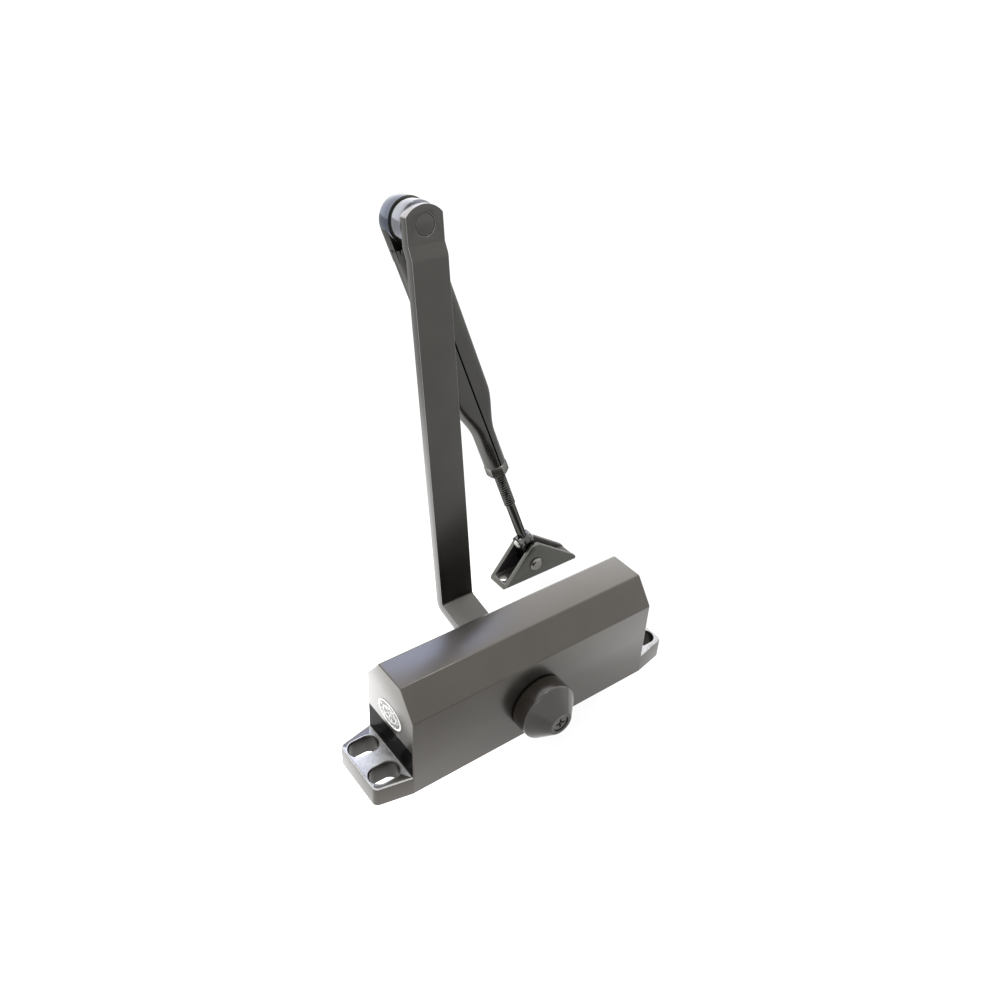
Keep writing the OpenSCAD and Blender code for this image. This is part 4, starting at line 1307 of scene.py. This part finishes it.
    def spacer(self, elbow: Vector, hinge: Vector) -> None:
        """Turns the polished spacer between the two arms.

        Args:
            elbow: The elbow on the arm's near face, in millimetres.
            hinge: The elbow's axis, away from the arm.
        """
        radius, start, end, hole = self.disc
        disc = Blank.bar("spacer_disc", radius, elbow + hinge * start, elbow + hinge * end, 96)
        disc.coat(SPACER_STEEL).soften(self.edge, 4, 40.0)
        bore = Blank.bar("bore", hole, elbow + hinge * (start - 2), elbow + hinge * (end + 2), 48)
        disc.combine(bore.coat(SPACER_STEEL))
        disc.smooth(32).fit("spindle_and_arm", "bright_steel", "elbow_spacer")


@dataclass
class Forearm(SubAssembly):
    """The folded forearm, its lock nut and the adjusting rod. Sizes in millimetres.

    Attributes:
        width: Width of the flat section.
        depth: Depth of the flat section.
        sheet: Thickness of the sheet.
        tongue: Thickness of the flat tongue, and the outer and inner face of its round boss.
        elbow_r: Radius of the tongue's round end.
        rivet_hole: Radius of the hole for the elbow's rivet.
        mid: Distance of the forearm's middle from the elbow's near face.
        stations: Where the fold starts, the neck starts and ends, and the tube ends.
        tube: Radius of the round end.
        seam: Width of the seam.
        bore: Radius of the hole for the rod.
        rod: Radius over the thread and of the shank.
        pitch: Pitch of the thread.
        rod_from: Distance of the rod's inner end from the elbow.
        thread_to: Distance of the thread's outer end from the elbow.
        reach: Distance of the rod's rivet from the elbow.
        eye: Radius and thickness of the flattened eye.
        eye_hole: Radius of the hole through the eye.
        lip: How far in from the shell's end its room and seam start, and the mouth reaches.
        edge: Rounding of the tongue's edges and of the shell's and shank's.
        thread_root: Depth of the thread as a share of its pitch.
        press: Length over which the shank is pressed flat, and how much wider it gets there.
    """

    width: float = 23.0
    depth: float = 11.0
    sheet: float = 2.0
    tongue: tuple[float, float, float] = (5.6, 2.8, -4.9)
    elbow_r: float = 11.0
    rivet_hole: float = 3.65
    mid: float = 18.8
    stations: tuple[float, float, float, float] = (10.6, 98.0, 124.0, 143.5)
    tube: float = 6.0
    seam: float = 0.9
    bore: float = 3.3
    rod: tuple[float, float] = (3.2, 2.65)
    pitch: float = 1.5
    rod_from: float = 102.0
    thread_to: float = 174.65
    reach: float = 201.5
    eye: tuple[float, float] = (4.3, 4.2)
    eye_hole: float = 1.85
    lip: tuple[float, float] = (6.0, 2.4)
    edge: tuple[float, float] = (0.5, 0.3)
    thread_root: float = 0.62
    press: tuple[float, float] = (3.2, 1.25)

    def frame(self) -> Matrix:
        """The forearm's frame: Z along it from the elbow, Y away from the arm."""
        elbow = joint("elbow_turn")
        axis = Vector(elbow["axis"]).normalized()
        if axis.y < 0:
            axis.negate()
        origin = Vector(elbow["pos_m"]) + axis * self.mid * MM
        along = Vector(joint("rod_tilt")["pos_m"]) - origin
        return frame_at(origin, along, axis.cross(along))

    def shell(self) -> Blank:
        """The folded tube: a bar stretched into a flat section that necks down to a round end."""
        start, neck, neck_end, end = self.stations
        tube = Blank.bar("forearm_shell", self.depth / 2, (0, 0, start), (0, 0, end), 62)
        cuts = [start + 0.8, start + 2.2, neck - 4, neck]
        cuts += [neck + (neck_end - neck) * share / 10 for share in range(1, 11)]
        for cut in cuts:
            with tube.editing("VERT"):
                bpy.ops.mesh.select_all(action="SELECT")
                bpy.ops.mesh.bisect(plane_co=(0, 0, cut * MM), plane_no=(0, 0, 1), threshold=1e-7)
        spread = (self.width - self.depth) / 2

        def draw(v: Vector) -> Vector:
            """Gives one vertex of the round bar its place on the folded section."""
            share = min(1.0, max(0.0, (v.z - neck) / (neck_end - neck)))
            ease = share * share * (3 - 2 * share)
            radius = 1 + (self.tube / (self.depth / 2) - 1) * ease
            mouth = 1 - 0.12 * max(0.0, 1 - (v.z - start) / 2.2) ** 2
            side = spread * (1 - ease)
            x = v.x * radius + (side if v.x > 0 else -side)
            return Vector((x, v.y * radius * mouth, v.z))

        tube.reshape(draw)
        return tube.coat(TUBE_STEEL)

    def build(self) -> None:
        """Folds the forearm and turns the rod."""
        place = self.frame()
        start, neck, _, end = self.stations
        inset, mouth_depth = self.lip
        shell = self.shell()
        inner = self.depth / 2 - self.sheet
        room = Blank.bar("room", inner, (0, 0, start + inset), (0, 0, neck + inset), 62)
        spread = (self.width - self.depth) / 2
        room.reshape(lambda v: v + Vector((
            (spread if v.x > 0 else -spread) * (1 if v.z < neck else 0.75), 0, 0)))
        shell.combine(room.coat(TUBE_STEEL))
        bore = Blank.bar("bore", self.bore, (0, 0, neck - 3), (0, 0, end + 5), 48)
        shell.combine(bore.coat(TUBE_STEEL))
        seam = self.seam / 2
        slit = Blank.block("slit", (-seam, -self.depth, start + inset), (seam, 0.0, end + 5))
        shell.combine(slit.coat(TUBE_STEEL))
        lip = self.width / 2 - self.sheet
        near = self.sheet - self.depth / 2 - 0.8
        mouth = Blank.block("mouth", (-lip, near, start - 3), (lip, -0.4, start + mouth_depth))
        shell.combine(mouth.coat(TUBE_STEEL))
        shell.soften(self.edge[1], 2, 40.0)
        for piece in (shell, self.flat_tongue(start + inset)):
            piece.place(place).smooth(30).fit("forearm_tube", "dark_steel", "forearm")
        self.thread(place)
        self.shank()
        self.dress("lock_nut", NUT_STEEL, 0.25)

    def flat_tongue(self, end: float) -> Blank:
        """Cuts the flat tongue with its round boss out of strip, in the forearm's frame.

        Args:
            end: Where it ends inside the shell.

        Returns:
            The tongue.
        """
        thick, outer, inner = self.tongue
        tongue = Blank.bar("forearm_tongue", self.elbow_r, (0, -thick / 2, 0), (0, thick / 2, 0), 96)
        with tongue.editing("VERT"):
            bpy.ops.mesh.select_all(action="SELECT")
            bpy.ops.mesh.bisect(
                plane_co=(0, 0, 0), plane_no=(0, 0, 1), clear_outer=True, use_fill=True, threshold=1e-7
            )
        with tongue.editing("FACE"):
            tongue.pick_faces(lambda at, normal: normal.z > 0.9 and at.z > -0.1)
            Blank.extrude(0, 0, end)
        tongue.weld()
        boss = Blank.bar("boss", self.elbow_r - 0.02, (0, inner, 0), (0, outer - 0.02, 0), 96)
        tongue.combine(boss.coat(TUBE_STEEL), "UNION")
        hole = Blank.bar("hole", self.rivet_hole, (0, -8, 0), (0, 8, 0), 48)
        tongue.coat(TUBE_STEEL).combine(hole.coat(TUBE_STEEL))
        side = self.elbow_r + 1
        tongue.combine(Blank.block("trim", (-side, -8, end - 0.1), (side, 8, end + 6)).coat(TUBE_STEEL))
        tongue.soften(self.edge[0], 3, 40.0)
        # The tongue's rim gets the bluish painted-reflection finish.
        tongue.thing.data.materials.append(PAINTED_SKY_RIM.material())
        tongue.coat_faces(1, lambda at, normal: at.z < 6 and math.hypot(at.x, at.z) > self.elbow_r - 0.7)
        return tongue

    def thread(self, place: Matrix) -> None:
        """Rolls the thread on the rod.

        Args:
            place: The forearm's frame.
        """
        crest, root = self.rod[0], self.rod[0] - self.thread_root * self.pitch
        turns = (self.thread_to - self.rod_from) / self.pitch
        rod = Blank.bar("rod_thread", crest, (0, 0, self.rod_from), (0, 0, self.thread_to), 28)
        rings = round(turns * 7)
        for cuts in (20, math.ceil(rings / 21)):
            with rod.editing("EDGE"):
                rod.pick_edges(lambda a, b: abs(a.z - b.z) > 0.05)
                bpy.ops.mesh.subdivide(number_cuts=cuts, quadcorner="STRAIGHT_CUT")

        def roll(v: Vector) -> Vector:
            """Presses the thread's profile into the bar."""
            radius = math.hypot(v.x, v.y)
            if radius < crest * 0.9:
                return v
            phase = (v.z / self.pitch - math.atan2(v.y, v.x) / math.tau) % 1.0
            wave = min(1.0, max(0.0, 1.9 * (1 - abs(2 * phase - 1)) - 0.15))
            fade = min(1.0, (self.thread_to - v.z) / 1.5, (v.z - self.rod_from) / 1.5)
            wanted = root + (crest - root) * wave * max(0.0, fade)
            return Vector((v.x * wanted / radius, v.y * wanted / radius, v.z))

        rod.reshape(roll)
        rod.coat(ROD_STEEL).place(place).smooth(50).fit("rod", "dark_steel", "adjusting_rod")

    def shank(self) -> None:
        """Forges the rod's plain shank and flattened eye in the rod's own frame."""
        tilt = joint("rod_tilt")
        eye_at = Vector(tilt["pos_m"])
        pin = Vector(tilt["axis"]).normalized()
        elbow = self.frame().translation
        place = frame_at(eye_at, eye_at - elbow, pin)
        top = self.thread_to - self.reach - 1.5
        eye_r, eye_t = self.eye
        press, spread = self.press
        neck = -(eye_r + 2.8)
        shank = Blank.bar("rod_shank", self.rod[1], (0, 0, top), (0, 0, neck), 48)
        with shank.editing("FACE"):
            shank.pick_faces(lambda at, normal: normal.z > 0.9)
            Blank.extrude(0, 0, press)
            bpy.ops.transform.resize(
                value=(eye_t / 2 / self.rod[1], spread, 1), center_override=(0, 0, (neck + press) * MM)
            )
        eye = Blank.bar("eye", eye_r, (-eye_t / 2, 0, 0), (eye_t / 2, 0, 0), 64)
        shank.coat(ROD_STEEL).combine(eye.coat(ROD_STEEL), "UNION")
        hole = Blank.bar("hole", self.eye_hole, (-5, 0, 0), (5, 0, 0), 40)
        shank.combine(hole.coat(ROD_STEEL))
        shank.soften(self.edge[1], 2, 40.0)
        shank.place(place).smooth(35).fit("rod", "dark_steel", "adjusting_rod")


@dataclass
class Shoe(SubAssembly):
    """The folded shoe, its rivet and the swivel. Sizes in millimetres.

    Attributes:
        length: Length of the base.
        sheet: Thickness of the sheet.
        height: Height of the plates.
        inner: Half the width between the plates.
        pin: Share of the length and height where the rivet is.
        rivet: Radius of the rivet's hole.
        hole: Radius and distance of the screw holes.
        bend: Inside radius of the folds.
        trim: How much the shears take off the base's far end.
        crown: Half the length of the plates' flat top, towards the short and the long end.
        rounding: Width of the rounded peaks, of the folds outside, and of every other edge.
    """

    length: float = 54.0
    sheet: float = 2.4
    height: float = 24.3
    inner: float = 4.9
    pin: tuple[float, float] = (0.42, 9.8)
    rivet: float = 2.65
    hole: tuple[float, float] = (2.3, 45.0)
    bend: float = 0.9
    trim: float = 0.3
    crown: tuple[float, float] = (4.0, 1.0)
    rounding: tuple[float, float, float] = (1.1, 1.7, 0.3)

    def build(self) -> None:
        """Folds the shoe in place and dresses the swivel."""
        pin_at = Vector(joint("shoe_pivot")["pos_m"]) / MM
        peak = self.pin[0] * self.length
        x0, y, z0 = pin_at.x - peak, pin_at.y, pin_at.z - self.pin[1]
        outer = self.inner + self.sheet
        shoe = Blank.block(
            "shoe_fold", (x0, y - outer, z0), (x0 + self.length - self.trim, y + outer, z0 + self.height)
        )
        rise = self.height
        run = peak - self.crown[0]
        shoe.slice_off((x0, y, z0), (-rise, 0, run))
        toe = self.length - 2 * self.trim
        fall, back = rise - self.sheet - 1, toe - peak - self.crown[1]
        shoe.slice_off((x0 + toe, y, z0 + self.sheet + 1), (fall, 0, back))
        shoe.round_edges(
            lambda a, b: abs(a.y - b.y) > outer and min(a.z, b.z) > z0 + self.sheet, self.rounding[0], 4
        )
        shoe.round_edges(
            lambda a, b: abs(a.x - b.x) > 30 and max(a.z, b.z) < z0 + 0.1, self.rounding[1], 5
        )
        channel = Blank.block("channel", (x0 - 9, y - self.inner, z0 + self.sheet),
                              (x0 + self.length + 9, y + self.inner, z0 + self.height + 9))
        channel.round_edges(
            lambda a, b: abs(a.x - b.x) > 30 and max(a.z, b.z) < z0 + self.sheet + 0.1, self.bend, 4
        )
        shoe.coat(SHOE_STEEL, EDGE_RUB)
        shoe.combine(channel.coat(SHOE_INNER))
        radius, pitch = self.hole
        for sign in (-1, 1):
            x = x0 + self.length / 2 + sign * pitch / 2
            drill = Blank.bar("drill", radius, (x, y, z0 - 3), (x, y, z0 + 9), 48)
            shoe.combine(drill.coat(EDGE_RUB))
        x, z = x0 + peak, z0 + self.pin[1]
        drill = Blank.bar("drill", self.rivet, (x, y - 12, z), (x, y + 12, z), 48)
        shoe.combine(drill.coat(SHOE_STEEL))
        shoe.soften(self.rounding[2], 2, 40.0, 1)
        shoe.smooth(32).fit("shoe", "dark_steel", "shoe_bracket")
        self.dress("shoe_rivet", NUT_STEEL, 0.5, 3)
        self.dress("swivel_clevis", SWIVEL_STEEL, 0.45, 3)
        self.dress("swivel_rivet", ZINC, 0.4, 3)


# --------------------------------------------------------------------------------------
# Studio
# --------------------------------------------------------------------------------------
@dataclass(frozen=True)
class SoftBox:
    """A rectangular studio lamp.

    Attributes:
        name: Its name.
        at: Where it hangs, in metres.
        aim: What it points at, in metres.
        size: Its width and height in metres.
        power: Its power in watts.
        colour: Its colour.
    """

    name: str
    at: Point
    aim: Point
    size: tuple[float, float]
    power: float
    colour: Colour = (1.0, 1.0, 1.0)

    def hang(self) -> None:
        """Hangs the lamp."""
        lamp = bpy.data.lights.new(self.name, "AREA")
        lamp.shape = "RECTANGLE"
        lamp.size, lamp.size_y = self.size
        lamp.energy = self.power
        lamp.color = self.colour
        thing = bpy.data.objects.new(self.name, lamp)
        thing.location = self.at
        thing.rotation_euler = (Vector(self.at) - Vector(self.aim)).to_track_quat("Z", "Y").to_euler()
        bpy.context.scene.collection.objects.link(thing)


@dataclass
class Studio:
    """Floor, light and camera.

    Attributes:
        azimuth: Camera azimuth in degrees.
        elevation: Camera elevation in degrees.
        roll: Camera roll in degrees.
        camera_at: Camera place in metres.
        lens: Focal length in millimetres on a 36 mm sensor.
        lamps: The soft boxes.
        left_pool: Middle of the bright pool on the floor to the left.
        right_pool: Middle of the fainter pool to the right.
        pool_radius: Radius of the left pool and of the right one.
        sky_back: Brightness of the sky behind the closer.
        sky_front: Brightness of the sky on the camera's side.
        glow: The floor's own brightness, and the extra in the left and the right pool.
        floor_tone: Darkest and lightest grey of the floor.
        floor_size: Length of its sides in metres.
    """

    azimuth: float = -38.51
    elevation: float = 34.66
    roll: float = 3.26
    camera_at: Point = (-0.23231, -0.27334, 0.37577)
    lens: float = 35.22
    left_pool: Point = (-0.13, 0.13, 0.0)
    right_pool: Point = (0.1, -0.075, 0.0)
    pool_radius: tuple[float, float] = (0.22, 0.0836)
    sky_back: float = 2.7
    sky_front: float = 1.5
    glow: tuple[float, float, float] = (0.86, 1.9, 0.55)
    floor_tone: tuple[float, float] = (0.11, 0.13)
    floor_size: float = 8.0
    lamps: tuple[SoftBox, ...] = field(default_factory=lambda: (
        SoftBox("cool_window", (0.36, 0.95, 1.1), (-0.05, 0.0, 0.05), (0.5, 0.35), 2.6, (0.36, 0.5, 1.0)),
        SoftBox("glint", (0.19, 0.03, 1.2), (0.0, 0.0, 0.0), (0.13, 0.13), 1.3),
        SoftBox("key", (-0.7, -0.9, 1.1), (0.0, 0.0, 0.05), (0.7, 0.7), 2.0),
    ))

    def camera(self) -> None:
        """Sets the camera."""
        a, e, r = (math.radians(value) for value in (self.azimuth, self.elevation, self.roll))
        back = Vector((math.sin(a) * math.cos(e), -math.cos(a) * math.cos(e), math.sin(e)))
        right = Vector((math.cos(a), math.sin(a), 0.0))
        up = back.cross(right)
        tilted_right = right * math.cos(r) + up * math.sin(r)
        tilted_up = up * math.cos(r) - right * math.sin(r)
        data = bpy.data.cameras.new("camera")
        data.lens = self.lens
        data.sensor_width = 36.0
        data.clip_start = 0.01
        thing = bpy.data.objects.new("camera", data)
        turn = Matrix((tilted_right, tilted_up, back)).transposed().to_4x4()
        turn.translation = self.camera_at
        thing.matrix_world = turn
        bpy.context.scene.collection.objects.link(thing)
        bpy.context.scene.camera = thing

    def floor(self) -> None:
        """Lays the pale floor."""
        Blank.clear()
        bpy.ops.mesh.primitive_plane_add(size=self.floor_size, location=(0, 0, -0.3 * MM))
        floor = bpy.context.view_layer.objects.active
        floor.name = "floor"
        recipe = Recipe("pale_floor")
        shader = recipe.shader
        shade = recipe.noise(recipe.place(), 6.0, 2.0)
        stops = [(at, (tone,) * 3) for at, tone in zip(NOISE_SPAN, self.floor_tone)]
        recipe.link(recipe.ramp(shade, stops), shader.inputs["Base Color"])
        shader.inputs["Roughness"].default_value = 0.9
        shader.inputs["Specular IOR Level"].default_value = 0.0
        shader.inputs["Emission Color"].default_value = (1.0, 1.0, 1.0, 1.0)
        base, *levels = self.glow
        total = recipe.node("ShaderNodeMath", operation="ADD")
        pools = zip((self.left_pool, self.right_pool), self.pool_radius, levels)
        for socket, (centre, radius, level) in zip(total.inputs, pools):
            recipe.link(self.pool(recipe, Vector(centre), radius, level), socket)
        lift = recipe.node("ShaderNodeMath", operation="ADD")
        lift.inputs[1].default_value = base
        recipe.link(total.outputs[0], lift.inputs[0])
        recipe.link(lift.outputs[0], shader.inputs["Emission Strength"])
        floor.data.materials.append(recipe.material)

    @staticmethod
    def pool(recipe: Recipe, centre: Vector, radius: float, level: float) -> bpy.types.NodeSocket:
        """A soft pool of extra light on the floor.

        Args:
            recipe: The floor's material.
            centre: Its middle in metres.
            radius: Its radius in metres.
            level: Its extra brightness in the middle.

        Returns:
            The extra brightness.
        """
        span = recipe.node("ShaderNodeVectorMath", operation="DISTANCE")
        span.inputs[1].default_value = centre
        recipe.link(recipe.place(), span.inputs[0])
        fall = recipe.node("ShaderNodeMapRange", interpolation_type="SMOOTHSTEP")
        fall.inputs["From Min"].default_value = radius * 0.3
        fall.inputs["From Max"].default_value = radius
        fall.inputs["To Min"].default_value = level
        fall.inputs["To Max"].default_value = 0.0
        recipe.link(span.outputs["Value"], fall.inputs["Value"])
        return fall.outputs["Result"]

    def sky(self) -> None:
        """Fills the room with soft white light that is stronger at the back."""
        world = bpy.data.worlds.new("studio")
        bpy.context.scene.world = world
        world.use_nodes = True
        tree = world.node_tree
        background = tree.nodes["Background"]
        coordinates = tree.nodes.new("ShaderNodeTexCoord")
        ahead = tree.nodes.new("ShaderNodeVectorMath")
        ahead.operation = "DOT_PRODUCT"
        ahead.inputs[1].default_value = (0.35, 0.94, 0.0)
        ramp = tree.nodes.new("ShaderNodeMapRange")
        ramp.interpolation_type = "SMOOTHSTEP"
        ramp.inputs["From Min"].default_value = -0.2
        ramp.inputs["From Max"].default_value = 0.7
        ramp.inputs["To Min"].default_value = self.sky_front
        ramp.inputs["To Max"].default_value = self.sky_back
        tree.links.new(coordinates.outputs["Generated"], ahead.inputs[0])
        tree.links.new(ahead.outputs["Value"], ramp.inputs["Value"])
        tree.links.new(ramp.outputs["Result"], background.inputs["Strength"])
        background.inputs["Color"].default_value = (1.0, 1.0, 1.0, 1.0)

    def build(self) -> None:
        """Sets up the whole studio."""
        self.floor()
        self.sky()
        for lamp in self.lamps:
            lamp.hang()
        self.camera()
        view = bpy.context.scene.view_settings
        view.view_transform = "Standard"
        view.look = "None"


def main() -> None:
    """Builds the closer's looks in order and reports each piece."""
    logging.basicConfig(level=logging.INFO, format="%(name)s: %(message)s")
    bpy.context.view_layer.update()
    for assembly in (Housing(), SpindleCap(), MainArm(), Forearm(), Shoe()):
        LOG.info("-- %s", type(assembly).__name__)
        assembly.build()
    Studio().build()
    Blank.clear()


if __name__ == "__main__":
    main()
